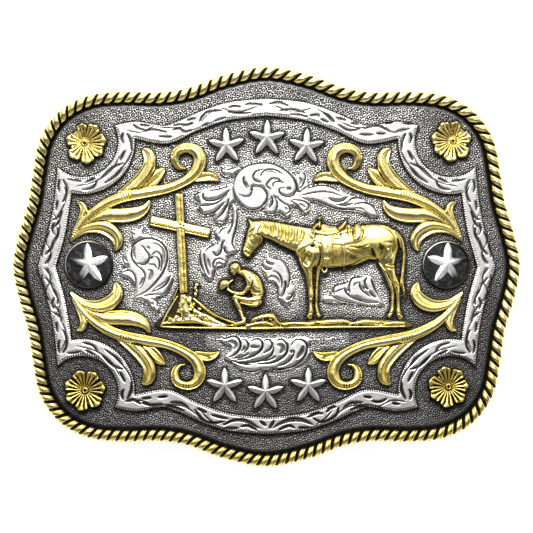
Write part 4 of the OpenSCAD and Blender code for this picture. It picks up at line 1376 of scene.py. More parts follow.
@dataclass
class Medallion:
    """A glossy black disc inside a thin silver rim, with its star."""

    side: str
    x: float
    y: float
    radius: float = 4.7
    rim_w: float = 0.34
    rim_h: float = 0.8
    disc_h: float = 0.36
    # Angle, in radians, where the rim keeps its painted highlight.
    lit_at: float = 2.3
    segments: int = 128

    def build(self) -> Piece:
        """Turns the rim and the dished disc from a flat circle, ring by ring."""
        outer, inner, crest, disc = self.radius, self.radius - self.rim_w, self.rim_h, self.disc_h
        rows = [
            (outer, -0.03), (outer, crest - 0.2), (outer - 0.07, crest - 0.05), (outer - 0.16, crest),
            (inner + 0.1, crest - 0.03), (inner, crest - 0.2), (inner - 0.06, disc - 0.02),
            (inner - 0.3, disc), (outer * 0.6, disc + 0.04), (outer * 0.3, disc + 0.06),
        ]
        deselect_all()
        bpy.ops.mesh.primitive_circle_add(vertices=self.segments, radius=rows[0][0], fill_type="NGON",
                                          location=(0, 0, rows[0][1]))
        piece = added(f"rimmed_medallion_{self.side}")
        bpy.ops.object.transform_apply(location=True)
        pick(piece, Part.FACES)
        for (r0, z0), (r1, z1) in zip(rows, rows[1:]):
            bpy.ops.mesh.extrude_region_move(TRANSFORM_OT_translate={"value": (0, 0, z1 - z0)})
            bpy.ops.transform.resize(value=(r1 / r0, r1 / r0, 1), center_override=(0, 0, z1))
        bpy.ops.mesh.poke()
        face_outwards()
        close_edit()
        points = points_of(piece)
        away = np.hypot(points[:, 0], points[:, 1])
        seam, foot = fall(np.abs(away - inner), 0.1), fall(points[:, 2], 0.3)
        # Painted highlight and shade: the rim stays bright towards the upper left and is painted darker round
        # the rest, with oxide in the seam and at the foot.
        lit_side = np.cos(np.arctan2(points[:, 1], points[:, 0]) - self.lit_at)
        painted_shade = 0.85 * (1 - np.clip(lit_side, 0, 1) ** 1.5)
        paint(piece, "shade", np.maximum.reduce([seam, painted_shade, foot]))
        leaned = FACE.lean(points, self.x, self.y)
        leaned[:, 2] += FACE.lift - FACE.drop(self.x)
        move_points(piece, leaned * MM)
        bpy.ops.object.shade_smooth_by_angle(angle=math.radians(40))
        return piece

    def dress(self, finishes: Finishes, plate: FieldPlate) -> None:
        """Builds the medallion: silver rim, black disc."""
        half = self.radius + 1.7
        patch = ReliefSheet((self.x - half, self.y - half), (self.x + half, self.y + half), step=0.15)
        patch.inside = self.radius - np.hypot(patch.x - self.x, patch.y - self.y)
        plate.gather(patch)
        piece = self.build()
        enrol(piece, f"medallion_{self.side}", Slot.FIELD, finishes.silver, finishes.enamel)
        centres = np.empty(len(piece.data.polygons) * 3)
        piece.data.polygons.foreach_get("center", centres)
        away = np.hypot(centres[::3] / MM - self.x, centres[1::3] / MM - self.y)
        piece.data.polygons.foreach_set("material_index", (away < self.radius - self.rim_w).astype(int))


@dataclass(frozen=True)
class LeafPanel:
    """One low silver leaf panel: its silver areas, the lines engraved in them and their hollows."""

    node: str
    areas: tuple[Rows, ...]
    lines: tuple[Rows, ...]
    broad: tuple[Rows, ...] = ()
    hollows: tuple[tuple[Rows, float], ...] = ()
    pits: tuple[tuple[float, float, float], ...] = ()
    tails: tuple[Rows, ...] = ()
    top: float = 0.5
    line_w: float = 0.38
    line_d: float = 0.28
    round_w: float = 0.8
    round_d: float = 0.13
    pit_d: float = 0.24
    fade: float = 0.8

    def sheet(self) -> ReliefSheet:
        """Lays the flat areas, rounds them down to the lines and engraves them."""
        points = np.vstack([np.array(rows, float)[:, :2] for rows in (*self.areas, *self.tails)])
        sheet = ReliefSheet(tuple(points.min(0) - 3.2), tuple(points.max(0) + 3.2), 0.1)
        for rows in self.areas:
            sheet.inside = np.maximum(sheet.inside, sheet.outline(smooth(rows, 5, closed=True), 3.0))
        sheet.height = self.top * (0.3 + 0.7 * np.sin(rise(sheet.inside, self.fade) * QUARTER_TURN))
        sheet.raise_all((Stroke(rows) for rows in self.tails), blend=0.05)
        for rows in (*self.lines, *self.broad):
            sheet.shelve(rows, self.round_w, self.round_d)
        for rows, wide in self.hollows:
            sheet.cut(rows, wide, 0.2, blunt=0.7, crisp=0.5, dark=0.72)
        sheet.cuts(self.lines, self.line_w, self.line_d, crisp=0.5)
        sheet.cuts(self.broad, self.line_w * 1.25, self.line_d * 1.2, crisp=0.5)
        for x, y, radius in self.pits:
            sheet.pit(x, y, radius, self.pit_d)
        sheet.settle(0.05)
        sheet.frayed = np.clip(1.15 - sheet.inside / self.fade, 0, 1)
        return sheet

    def dress(self, finishes: Finishes, plate: FieldPlate) -> None:
        """Builds the panel and silvers it."""
        sheet = self.sheet()
        plate.gather(sheet, spread=-0.34, leaf=True)
        piece = sheet.build(f"engraved_{self.node}", sheet.stained(edge=0.1, rim=0.0, slope_shade=0.0))
        enrol(piece, self.node, Slot.SILVER, finishes.leaf_silver)


LEAF_PANELS = (
    LeafPanel(
        "leaf_top",
        areas=(
            ((-6.8, 15.6), (-6.2, 17.8), (-4.5, 19.6), (-1.7, 20.4), (1.3, 20.3), (3.9, 19), (5.4, 17.5),
             (6.1, 15.7), (5.9, 14.2), (4.6, 13.2), (2.5, 12.9), (0.3, 12.4), (-0.7, 11.3), (-2.3, 10.8),
             (-4.1, 11.1), (-5.6, 12.4), (-6.5, 13.8)),
            ((-6.5, 15.9), (-8.5, 15.6), (-10.3, 15.3), (-12.6, 15), (-14.2, 14.1), (-14.2, 12.9),
             (-13.4, 12.2), (-13.6, 11.2), (-13.1, 10.2), (-12, 9.8), (-10.5, 10.1), (-10.4, 9.1),
             (-9.5, 8.4), (-8.3, 8.3), (-7.4, 9.3), (-7.1, 11.5), (-6, 13)),
            ((-6.1, 17.6), (-7, 17.5), (-8.3, 17.5), (-9.1, 18.2), (-9.1, 19.1), (-8.2, 19.6), (-7, 19.5),
             (-5.2, 19.2)),
            ((0.2, 13.4), (-0.2, 11.8), (-0.3, 10.4), (1.4, 10), (2.3, 10.1), (3.1, 9.6), (4, 9.3),
             (4.8, 10), (4.9, 11.4), (5.9, 11.5), (6.6, 10.5), (7.5, 10), (8.4, 10.8), (8.6, 11.9),
             (8.4, 12.7), (6.5, 14), (3, 14.2)),
            ((5.2, 17.4), (6.1, 18), (7, 18.7), (7.9, 17.8), (8.1, 16.7), (8.5, 16), (8.2, 15), (6.6, 14),
             (5.6, 15.4)),
            ((5.8, 14.2), (8, 15.5), (10.2, 16.1), (12.4, 15.9), (14.8, 14.8), (16.8, 13.9), (18.4, 13.5),
             (19.6, 12.8), (20.8, 12.2), (21.8, 11), (22, 9.8), (21.2, 9.4), (20.2, 9.5), (18.8, 10.2),
             (16.7, 10.7), (14, 10.9), (11.9, 11.6), (10.2, 12.3), (7.9, 12.8), (5.8, 13.2)),
        ),
        lines=(
            ((-6.55, 15.6), (-6.3, 13.9), (-5.5, 12.5), (-4.05, 11.4), (-2.4, 11.05), (-0.95, 11.6),
             (0, 12.95), (0.05, 14.1), (-0.7, 15.2), (-1.9, 15.6), (-2.75, 15.45), (-2.86, 14.6),
             (-3.3, 13.7), (-4.3, 13.55), (-5.4, 14)), ((-4.5, 17.4), (-4.4, 16.3), (-3.7, 15.1)),
            ((-0.7, 18.9), (-2.1, 18.4), (-2.6, 17.4), (-2.1, 16.6), (-0.95, 16.3)),
            ((-1.1, 17.5), (-0.7, 18.4), (0.5, 18.9), (1.9, 18.7), (3.1, 17.95)),
            ((0.8, 14.9), (0.05, 15.7), (0.4, 16.5), (1.4, 17.2), (2.6, 16.9)),
            ((1.3, 15.45), (1.4, 16.3), (2.4, 16.5), (3.3, 16.3)),
            ((-12.7, 14.6), (-13.9, 14), (-13.9, 12.95), (-13, 12.4)),
            ((-11.4, 15), (-10.2, 14.9), (-7.4, 15.6)),
            ((-13, 11.8), (-11.4, 11.9), (-9.5, 12.5), (-7.6, 14.1)),
            ((-10.1, 9.1), (-9.3, 9.6), (-7.9, 11.3), (-7.3, 13.2)), ((-9.6, 8.9), (-8.3, 8.6)),
            ((-8.7, 10.3), (-7.7, 12)), ((-7.9, 19.4), (-8.8, 18.8), (-8.1, 17.8), (-6.9, 17.95)),
            ((-7.9, 18.7), (-5.95, 19.4)), ((0.95, 13.7), (1.2, 12.5), (0.5, 11.3)),
            ((1.4, 13.9), (2, 12.7), (2, 11.3), (1.4, 10.3), (0, 10.3)),
            ((1.7, 13.7), (3.1, 12.5), (4.3, 11.8), (4.6, 10.8), (3.8, 10.1)),
            ((2.3, 10.8), (3.1, 10.1), (3.8, 9.6)), ((4.8, 12.7), (5.95, 12), (6.4, 11.05), (7.4, 10.3)),
            ((5.2, 12.95), (6.9, 12.8), (8.1, 12.2), (8.2, 11.3), (7.4, 10.8)),
            ((6.9, 18.4), (7.6, 17.7), (7.4, 16.5), (6.55, 15.1)), ((8.1, 15.6), (7.1, 15), (6.3, 14.4)),
            ((7.9, 15.1), (10.2, 15.8), (12.4, 15.6), (14.6, 14.5)),
            ((6.2, 13.7), (7.9, 14.1), (10.2, 14.5), (12.6, 14.4), (14.5, 13.7)),
            ((7.9, 13.1), (10.2, 12.6), (11.9, 11.9), (14, 11.2), (16.7, 11.05), (18.8, 10.6), (20.2, 9.6)),
            ((12.1, 13.3), (13.3, 12.7), (14.8, 12.8), (15.95, 13.7)),
            ((15.95, 12.5), (16.7, 13.2), (17.9, 13.45), (18.8, 13.2)),
            ((17.1, 12), (18.8, 12.4), (20.5, 12), (21.4, 10.8), (21.7, 9.9)),
            ((13.6, 12.1), (15.2, 11.9), (16.8, 12.2)),
        ),
        broad=(
            ((-6.55, 15.6), (-5.95, 17.7), (-4.3, 19.3), (-1.7, 20.1), (1.2, 20), (3.8, 18.7), (5.25, 17.2),
             (5.9, 15.6), (5.6, 14.4), (4.5, 13.6), (3.2, 13.8), (2.5, 14.5), (2.75, 15.2), (3.7, 15.2)),
            ((-12.4, 14.6), (-12.3, 13.3), (-11.2, 12.8), (-9.05, 13.3), (-7.1, 14.9)),
            ((-13.2, 11.8), (-13, 10.6), (-12.1, 10.1), (-10.2, 10.6), (-8.1, 12.5)),
        ),
        hollows=(
            (((-13.4, 14), (-13.4, 13), (-13, 12.6)), 0.8),
            (((-13, 11.7), (-12.9, 11), (-12.4, 10.5)), 0.7), (((-8.6, 18.6), (-8, 19.1)), 0.5),
            (((6.15, 17.6), (6.7, 16.8), (6.55, 15.7)), 0.55), (((3.6, 11.7), (4.1, 10.8)), 0.5),
            (((5.5, 11.5), (6.4, 10.7)), 0.6), (((6.4, 12.4), (7.6, 11.4)), 0.6),
            (((16.9, 11.3), (18.2, 11.3), (19.3, 10.7)), 0.5),
            (((-0.5, 18.1), (0.7, 18.5), (2.4, 18)), 0.6), (((0.9, 16.5), (1.7, 16.9), (2.8, 16.6)), 0.5),
            (((0.7, 13.2), (0.9, 12.2), (0.6, 11.4)), 0.45),
            (((-4, 16.6), (-3.9, 15.9), (-3.5, 15.3)), 0.5),
        ),
        pits=((4.4, 15.1, 0.5), (-2.9, 14.9, 0.3)),
    ),
    LeafPanel(
        "leaf_left",
        areas=(
            ((-26.3, -6.3), (-24.2, -7), (-22.6, -8.3), (-21.5, -9.5), (-20.8, -8.6), (-21, -7.3),
             (-21.2, -6.2), (-19.8, -5.7), (-18.8, -4.4), (-18.1, -2.6), (-18.3, -1.3), (-19, -0.9),
             (-18.9, 0.6), (-18.8, 2), (-19.3, 4), (-20.6, 5.4), (-22.4, 6), (-23.7, 6.5), (-24.1, 7.5),
             (-25, 7.4), (-26.5, 7), (-26.8, 5.8), (-26.4, 4.9), (-26.8, 3.7), (-27.8, 2.7), (-28.4, 1.6),
             (-28.2, 0.3), (-27.3, -0.2), (-28.5, -0.8), (-28.4, -2), (-27, -2.6), (-26, -3.8),
             (-25.9, -5.2)),
        ),
        lines=(
            ((-24.3, 4), (-23.5, 3), (-22.9, 2), (-23.1, 1), (-24, 0.3), (-25.1, 0.5)),
            ((-22.3, 2.2), (-21.6, 2.8), (-20.8, 2.4), (-20.4, 1.2), (-20.5, -0.2), (-20.8, -1)),
            ((-21.6, 2), (-21, 1.2), (-20.9, 0), (-21.2, -0.8)), ((-22.6, 1.4), (-22.2, 2)),
            ((-23.1, 0.4), (-22, 0.3), (-21.5, -0.4)),
            ((-28.3, -1.2), (-27, -0.8), (-26, -1.4), (-25.5, -2.8), (-25.6, -4.4)),
            ((-28, 2.4), (-28.1, 1.4), (-27.6, 0.4), (-27, 0.2)),
            ((-22.4, -5), (-20.6, -4.2), (-19.4, -3.2), (-18.6, -1.6)),
            ((-24, -5.8), (-22, -5.4), (-20.4, -5.6)),
            ((-26, -6.4), (-24, -6.8), (-22.6, -8), (-21.6, -9.2), (-21, -8.6)),
            ((-22.6, -6.2), (-21.4, -6.8), (-21.2, -7.8)), ((-24.2, 7.2), (-24, 6.3)),
            ((-26.4, 6.8), (-26.2, 5.4)),
        ),
        broad=(
            ((-25.8, -6), (-23.4, -4.8), (-21.2, -2.6), (-19.8, -0.4), (-19.3, 2), (-19.8, 3.8), (-21, 5),
             (-22.8, 5.5), (-24.6, 5.2), (-26, 4.2), (-26.4, 2.8), (-26.1, 1.2), (-25.2, 0.1),
             (-24.2, -0.8), (-23.7, -2), (-24.2, -3.6), (-24.8, -4.4)),
        ),
        hollows=(
            (((-25.7, 4), (-25.9, 2.6), (-25.5, 1.2)), 0.5),
            (((-22.2, 4.5), (-20.9, 4), (-20.1, 2.8), (-20, 1.2), (-20.1, 0)), 0.7),
            (((-23.2, -0.8), (-22.6, -0.9), (-22.5, -1.8), (-23, -3)), 0.9),
            (((-24.8, -3.9), (-24.3, -2.9), (-24.1, -2.1)), 0.45),
            (((-27.6, 2.1), (-27.6, 1.4), (-27.2, 0.8)), 0.6),
            (((-22, -4.5), (-20.8, -3.8), (-19.6, -2.9)), 0.45), (((-22.4, -7), (-22, -7.6)), 0.6),
            (((-23.2, 3.9), (-22.9, 3.3)), 0.5), (((-26, 6.6), (-25.9, 6)), 0.5),
        ),
    ),
    LeafPanel(
        "leaf_centre",
        areas=(
            ((-6.65, 12.2), (-6.75, 10), (-7.1, 8.1), (-8.6, 7.8), (-9.9, 7.2), (-10.2, 6.2), (-9.6, 5),
             (-10.4, 4.5), (-11.7, 3.9), (-12.9, 3.3), (-13.4, 1.9), (-13.2, 0.2), (-12.6, -1.4),
             (-11.4, -2.9), (-10.4, -2.7), (-10.1, -1.4), (-9.6, -0.3), (-8.3, -0.1), (-7.5, 0.9),
             (-7.3, 2), (-6.3, 2.4), (-5.6, 3.1), (-6, 4.6), (-5.9, 6.2), (-5.4, 8), (-5.3, 10),
             (-5.7, 11.5)),
        ),
        lines=(
            ((-12.2, 2.6), (-12.1, 1.2), (-11.7, -0.4), (-11.2, -1.8)),
            ((-12, 2.8), (-11.4, 3.6), (-10.4, 4.2), (-9.9, 4.5)),
            ((-10.5, 2.8), (-9.9, 2.1), (-9.3, 2.3), (-8.8, 3.1), (-8.6, 4.2), (-8.2, 5)),
            ((-10.3, -0.6), (-10.4, 0.4), (-9.9, 1.3), (-9, 1.5), (-8.1, 1)),
            ((-8.6, 0.1), (-9.5, -0.2), (-10, -1.2), (-10.1, -2.3)),
            ((-9.3, 6.3), (-8.7, 7.2), (-7.6, 7.7)), ((-8.3, 3.8), (-8.1, 2.9), (-7.4, 2.3)),
        ),
        broad=(
            ((-13, 3), (-13, 1.6), (-12.8, 0.3), (-12.2, -1.2)), ((-6.6, 10), (-6.8, 8), (-7.5, 6.2)),
            ((-5.9, 11), (-5.65, 9.4), (-6, 7), (-6.5, 5.3), (-6.6, 4.2), (-5.9, 3)),
        ),
        hollows=(
            (((-9.9, 0.2), (-9.3, 0.6), (-8.6, 0.4)), 0.9),
            (((-10.4, 2.9), (-10.1, 2.4), (-9.8, 2.1)), 0.5),
            (((-11.4, 1.6), (-11.2, 0.4), (-10.9, -0.6)), 0.5),
        ),
        pits=((-9.6, 4.4, 0.3),),
    ),
    LeafPanel(
        "leaf_chest",
        areas=(
            ((0.2, 2.7), (0.9, 1.9), (2, 1.7), (3, 1.4), (4, 0.3), (4.7, -1.6), (4.9, -3.2), (5.6, -4),
             (5.6, -5.4), (5, -6.7), (4.3, -8), (3.4, -7.5), (2.3, -6.4), (2, -5.3), (1.9, -4.2),
             (1.3, -3.3), (0.1, -2.9), (-0.4, -2.2), (-0.9, -0.9), (-0.9, 0.6), (-0.4, 1.5)),
        ),
        lines=(
            ((-0.2, 1.3), (0, 0.8), (0.6, 0.45), (1.4, 0.35)),
            ((-0.8, 0.5), (-0.6, -0.2), (0, -0.6), (1, -0.6)),
            ((1.2, -0.9), (2, -1.2), (2.7, -2), (3, -3.2), (2.9, -4.3)),
            ((0.6, -3), (1.4, -3.4), (1.9, -4.3), (2.2, -5.6)), ((5.2, -6.8), (4.6, -7.6), (4, -7.8)),
        ),
        broad=(
            ((0.3, 2.6), (1, 1.9), (2, 1.55), (2.9, 1.4), (3.7, 0.7), (4.3, -0.5), (4.6, -2), (4.4, -3.4),
             (4, -4.4)), ((3.7, -2.8), (3.7, -4), (3.3, -5.3), (2.8, -6)),
            ((5.2, -5.2), (4.7, -6.1), (4, -6.6)),
        ),
        hollows=(
            (((0.2, -2.4), (1.2, -2), (2.2, -2.6), (2.6, -3.7)), 0.85), (((2.5, -5.8), (3.1, -5.9)), 0.4),
            (((4.3, -5.3), (4.9, -5.6)), 0.4),
        ),
    ),
    LeafPanel(
        "leaf_belly",
        areas=(
            ((11, -6.9), (11, -5.8), (12, -5.3), (12.8, -5.3), (12.7, -4.3), (13.2, -3.6), (14.4, -3.2),
             (15.6, -2.8), (16.1, -2.3), (16.6, -1.8), (18.2, -1.7), (19.1, -1.6), (19.9, -1.7), (20.7, -2),
             (21.2, -3.2), (21.6, -4.6), (22.3, -5.8), (22.9, -7), (22.7, -7.7), (20, -7.7), (17.5, -7.4),
             (15, -7.2), (12.8, -7.2)),
        ),
        lines=(
            ((11.8, -5.65), (12.6, -5.65), (13.2, -6.05), (14.4, -6.6), (16, -7), (18, -7.3)),
            ((13.5, -5), (14.3, -4.6), (15, -4.4)), ((15.1, -4.4), (15.5, -5), (16.2, -5.6)),
            ((18, -3.1), (18.2, -4), (18.9, -4.9), (20.4, -6)), ((18.8, -3.9), (19.2, -4.6)),
            ((15.3, -5), (16.5, -6), (18, -6.6), (20, -7.1), (22, -7.1)), ((17, -5.9), (18.6, -6.6)),
        ),
        broad=(
            ((16, -2.95), (15, -3.3), (14, -3.5), (13.3, -3.9), (13, -4.6), (13.1, -5.4)),
            ((16.3, -5.3), (16.1, -4.2), (16.3, -3), (16.8, -2.3), (17.8, -2.1), (18.9, -1.95)),
            ((19.7, -2), (19.2, -2.9), (19.3, -3.9), (19.8, -4.6)),
            ((20.4, -2.3), (20.7, -3.3), (21.2, -4.5), (21.9, -5.5)),
            ((20, -4.9), (20.8, -5.7), (21.4, -6.1)),
        ),
        hollows=(
            (((12.3, -6.95), (13.2, -6.75), (14.2, -6.9)), 0.55),
            (((17.1, -4), (17.4, -3.4), (17.9, -3.2)), 0.6),
        ),
        pits=((15.9, -4.7, 0.32),),
    ),
    LeafPanel(
        "leaf_bottom",
        areas=(
            ((-9.2, -14.3), (-8.6, -14), (-7.6, -13.5), (-6.4, -13.2), (-5.2, -13.6), (-4.4, -13.8),
             (-3.2, -13.9), (-2, -13.7), (-0.9, -13.9), (0.2, -13.9), (1.3, -13.9), (2.8, -13.7),
             (4.2, -14), (5.3, -13.8), (6.6, -13.4), (8, -13.7), (8.7, -14.4), (8.5, -15.8), (8.8, -16.9),
             (8.2, -18.1), (7, -18.9), (5, -19.9), (3, -20.4), (0.9, -20.3), (-0.7, -20.3), (-2.4, -20.8),
             (-4.4, -20.5), (-5.8, -19.8), (-6.8, -18.8), (-8.2, -18), (-8.1, -17.2), (-7.2, -16.4),
             (-7.1, -15.6), (-8, -15.2)),
        ),
        lines=(
            ((-4.8, -14.3), (-4, -14.4), (-3.6, -15.1), (-3.7, -16), (-4.6, -16.9)),
            ((-0.6, -14.6), (0, -14.2), (0.8, -14.5), (1.1, -15.3), (0.7, -16.2), (0.1, -16.6),
             (-0.5, -16.9)), ((4.5, -16.5), (5.2, -16.4), (5.3, -17), (4.8, -18), (3.6, -19), (2, -19.5)),
            ((0.6, -20), (2.4, -20.2), (4.4, -19.8)), ((-6.8, -18.3), (-5, -18.9), (-3, -19.2)),
            ((-3.4, -17), (-5, -17.7), (-7, -17.9)), ((1.9, -17.6), (0.4, -18.2), (-1.6, -18.5)),
        ),
        broad=(
            ((-8.6, -14.1), (-7.6, -13.9), (-6.6, -13.6), (-5.6, -13.9), (-5.1, -14.9), (-5.2, -16),
             (-6.2, -17.2), (-7.4, -17.7)),
            ((-3.1, -14.7), (-2.4, -14.2), (-1.4, -14.2), (-0.8, -14.9), (-0.9, -16), (-1.9, -17),
             (-3.6, -17.8), (-6, -18.3)),
            ((1.3, -15.6), (1.2, -16.8), (0.4, -17.7), (-1.4, -18.4), (-3.6, -18.7), (-6, -18.6)),
            ((1.8, -14.6), (2.8, -14.2), (3.7, -14.7), (4.1, -15.7), (3.8, -17), (2.6, -18.1), (0.8, -18.8),
             (-2, -19)),
            ((4.9, -15.4), (5.3, -14.6), (6.2, -14.2), (7.4, -14.6), (7.9, -15.6), (7.7, -17), (6.8, -18.3),
             (5.2, -19.5), (3, -19.9), (0.8, -19.7)),
            ((-5, -20), (-3.9, -20.4), (-2.6, -20.5), (-1.5, -20.2), (-0.9, -19.9)),
        ),
        hollows=(
            (((-7.6, -14.6), (-6.7, -14.7), (-6, -15.4), (-6.4, -16.3)), 1.2),
            (((-3.1, -15.6), (-2.1, -15.8), (-1.5, -15.5)), 1),
            (((2.1, -15.3), (3, -15.5), (3.2, -16.3), (2.6, -17)), 1.2),
            (((7.2, -15.4), (6.9, -16.7), (5.9, -18)), 1.2),
            (((-4.4, -15.4), (-4.3, -16), (-4.9, -16.6)), 0.5),
        ),
        pits=((4.9, -16.7, 0.32),),
        tails=(
            ((-8.6, -14.15, 0.3, 0.4), (-9.6, -14.25, 0.16, 0.36), (-10.4, -14.35, 0.1, 0.3)),
            ((8.4, -14.3, 0.3, 0.4), (10.2, -14.2, 0.14, 0.34), (12.4, -14.15, 0.12, 0.32),
             (14.4, -14.1, 0.1, 0.3)),
        ),
    ),
)


# Gold


@dataclass
class LeafScroll:
    """The leaf scroll of the upper right quarter, mirrored to the others."""

    long_leaf: Stroke = Stroke((
        (37.3, 6.9, 0.2, 0.5), (34.6, 8.7, 0.8, 0.9), (31.4, 9.9, 1.35, 1.15), (28, 10, 1.55, 1.25),
        (25.5, 10.4, 1.4, 1.2), (23.8, 11.3, 0.95, 1), (22.9, 12.7, 0.35, 0.6),
    ), Section.LONG)
    pointed_leaf: Stroke = Stroke((
        (26, 14.4, 0.7, 0.9), (23.9, 15.8, 1.35, 1.1), (22, 17.3, 1.45, 1.15), (20.8, 18.35, 0.95, 1),
        (19.9, 19, 0.25, 0.7),
    ), Section.GROOVED)
    hook_leaf: Stroke = Stroke((
        (30, 13.2, 0.6, 0.8), (27.2, 14.8, 1.15, 1.15), (24.7, 16.9, 1.4, 1.3), (23.1, 19.1, 1.35, 1.35),
        (22.75, 20.8, 1.3, 1.3), (23, 21.9, 1.2, 1.15), (23.6, 22.6, 0.75, 0.9), (24.15, 22.85, 0.3, 0.7),
    ), Section.HOLLOW_RIGHT, over=True)
    bud: Stroke = Stroke((
        (38, 6.4, 0.2, 0.4), (36.9, 8.2, 0.5, 0.7), (36, 9.8, 0.75, 0.9), (35.7, 11.2, 0.8, 0.95),
        (36.2, 12.2, 0.6, 0.85), (37, 12.5, 0.25, 0.6),
    ), Section.HOLLOW_RIGHT)
    clasp: Stroke = Stroke((
        (38.3, 5.1, 0.2, 0.4), (35.8, 7.1, 0.75, 0.8), (33, 7.75, 1.25, 1.1), (30.7, 7.1, 1.5, 1.25),
        (29.3, 5.7, 1.3, 1.15), (29.1, 4.3, 0.9, 1), (29.5, 3.3, 0.35, 0.6),
    ), Section.HOLLOW_LEFT, over=True)
    lobe: Stroke = Stroke((
        (15, 17, 0.5, 0.9), (13.2, 17.3, 0.85, 1.05), (11.7, 17.6, 1, 1.05), (10.4, 17.4, 0.75, 0.95),
        (9.4, 16.8, 0.25, 0.6),
    ), Section.DISHED)
    stem: Stroke = Stroke((
        (38.3, 5.3, 0.2, 0.4), (36.9, 7.5, 0.5, 0.7), (34.6, 10.1, 0.8, 1), (31.7, 12.1, 1.05, 1.2),
        (28, 13.6, 1.15, 1.3), (23.5, 14.45, 1.1, 1.3), (19.5, 15.2, 1, 1.3), (16.3, 16.5, 1.05, 1.35),
        (14, 18.2, 1.2, 1.4), (13, 20.5, 1.3, 1.45), (13.7, 22.4, 1.2, 1.4), (15.6, 23.1, 1.05, 1.35),
        (17.5, 22.3, 1, 1.25), (17.8, 20.6, 0.85, 1.15), (17, 19.3, 0.55, 0.9), (15.9, 19.1, 0.25, 0.6),
    ), Section.STEM, over=True)
    veins: tuple[Rows, ...] = (
        ((23.6, 17.5), (24.2, 16.5), (25.2, 15.6)), ((22, 18), (23, 17), (24, 16)),
        ((21.4, 19.2), (22.1, 18.2), (23.4, 17)), ((10.2, 17.9), (11.5, 17.6), (13, 17.2)),
        ((24.2, 15.2), (26.2, 14.7)), ((28, 14.4), (30, 13.6), (32, 12.7)),
    )
    tick_rows: tuple[tuple[Rows, float], ...] = (
        (((26.2, 14.2), (28.6, 13.7)), 0.42), (((14.9, 23.3), (16.6, 23.2)), 0.3),
        (((18.5, 22.5), (18.6, 21.3)), 0.3), (((37, 7.6), (38.2, 5.8)), 0.25),
    )

    def sheet(self, with_long_leaf: bool) -> ReliefSheet:
        """Raises the scroll's strokes from the lowest to the stem that lies over them all."""
        sheet = ReliefSheet((8.0, 1.6), (40.0, 25.8), step=0.1)
        strokes = [self.pointed_leaf, self.hook_leaf, self.bud, self.clasp, self.lobe, self.stem]
        sheet.raise_all(([self.long_leaf] if with_long_leaf else []) + strokes, blend=0.2)
        sheet.cuts(self.veins, 0.2, 0.12)
        for rows, reach in self.tick_rows:
            sheet.ticks(rows, 0.5, reach, 0.2, 0.2)
        sheet.settle(0.075)
        return sheet

    def dress(self, finishes: Finishes, plate: FieldPlate) -> None:
        """Builds the four scrolls: one is modelled and mirrored, the lower right one has no long leaf."""
        full = self.sheet(True)
        first = full.build("leaf_scroll_ne")
        first.data.materials.append(finishes.gold)
        places = (("nw", True, False), ("sw", True, True))
        copies = [(first, "scroll_ne")]
        plate.gather(full)
        for name, west, south in places:
            copies.append((mirrored(first, f"leaf_scroll_{name}", west, south), f"scroll_{name}"))
            plate.gather(full, west, south)
        short = self.sheet(False)
        plate.gather(short, south=True)
        last = short.build("leaf_scroll_short")
        last.data.materials.append(finishes.gold)
        copies.append((mirrored(last, "leaf_scroll_se", False, True), "scroll_se"))
        bpy.data.objects.remove(last)
        for piece, node in copies:
            enrol(piece, node, Slot.GOLD)


@dataclass
class RuffledFlower:
    """A flower of broad ruffled, grooved petals about a small ringed boss."""

    node: str
    x: float
    y: float
    petals: tuple[tuple[float, float, float], ...]
    crown: float = 1.0
    lip: float = 0.28
    swell: float = 0.32
    scallop: float = 0.13
    groove: float = 0.5
    dimple: float = 0.16
    dimples_at: tuple[float, float] = (-0.4, 0.42)
    boss_r: float = 0.42
    boss: float = 0.34
    notch: float = 2.95

    def sheet(self) -> ReliefSheet:
        """Draws the petals about the middle, each with a scalloped lip, four grooves and two dimples."""
        sheet = ReliefSheet((self.x - 6, self.y - 6), (self.x + 6, self.y + 6), step=0.08)
        dx, dy = sheet.x - self.x, sheet.y - self.y
        away, turn = np.hypot(dx, dy), np.degrees(np.arctan2(dy, dx))
        reach = np.full_like(away, self.notch)
        grooves, dimples, swell = np.zeros_like(away), np.zeros_like(away), np.zeros_like(away)
        for middle, far, half in self.petals:
            off = ((turn - middle + 180) % 360 - 180) / half
            edge = far * (1 - 0.24 * np.abs(off) ** 4) + self.scallop * np.cos(off * math.tau + 0.4)
            on = np.abs(off) < 1
            reach = np.where(on, np.maximum(reach, edge), reach)
            swell = np.where(on, np.sqrt(np.clip(1 - off**2, 0, 1)), swell)
            ribs = 1 - np.abs(np.sin((off + 1) * 1.5 * math.pi)) ** 0.6
            ribs = ribs * rise(away, 0.4, 0.7) * rise(-away, 0.5, -0.86 * far)
            seam = rise(np.abs(off), 0.14, 0.86) * rise(away, 0.5, 0.9)
            grooves = np.where(on, np.maximum(ribs, seam), grooves)
            for side in self.dimples_at:
                sideways = (off - side) * half * away / DEGREES_A_RADIAN
                spot = np.hypot(sideways, (away - far * 0.84) * 0.8)
                dimples = np.maximum(dimples, fall(spot, 0.4) * on)
        sheet.inside = np.clip((reach - away) * 0.85, -1.6, 3)
        bowl = self.crown - 0.25 * fall(away, 1.5) + self.lip * rise(away, 1.2, 2.4)
        bowl += self.swell * swell * rise(away, 1.5, 0.8) - 0.2
        sheet.height = bowl * (0.5 + 0.5 * np.sin(rise(sheet.inside, 0.3) * QUARTER_TURN))
        sheet.depth = np.maximum(self.groove * grooves, self.dimple * np.sqrt(dimples))
        sheet.stain = np.clip(np.maximum(grooves * 1.4, dimples * 0.7), 0, 0.95)
        sheet.settle(0.06)
        ring = fall(np.abs(away - self.boss_r), 0.22)
        sheet.height += self.boss * ring - 0.2 * fall(away, 0.25)
        sheet.stain = np.maximum(sheet.stain, fall(np.abs(away - 0.74), 0.2) * 0.9)
        return sheet

    def dress(self, finishes: Finishes, plate: FieldPlate) -> None:
        """Builds the flower and plates it."""
        sheet = self.sheet()
        plate.gather(sheet, spread=0.1)
        enrol(sheet.build(f"ruffled_{self.node}"), self.node, Slot.GOLD, finishes.gold)


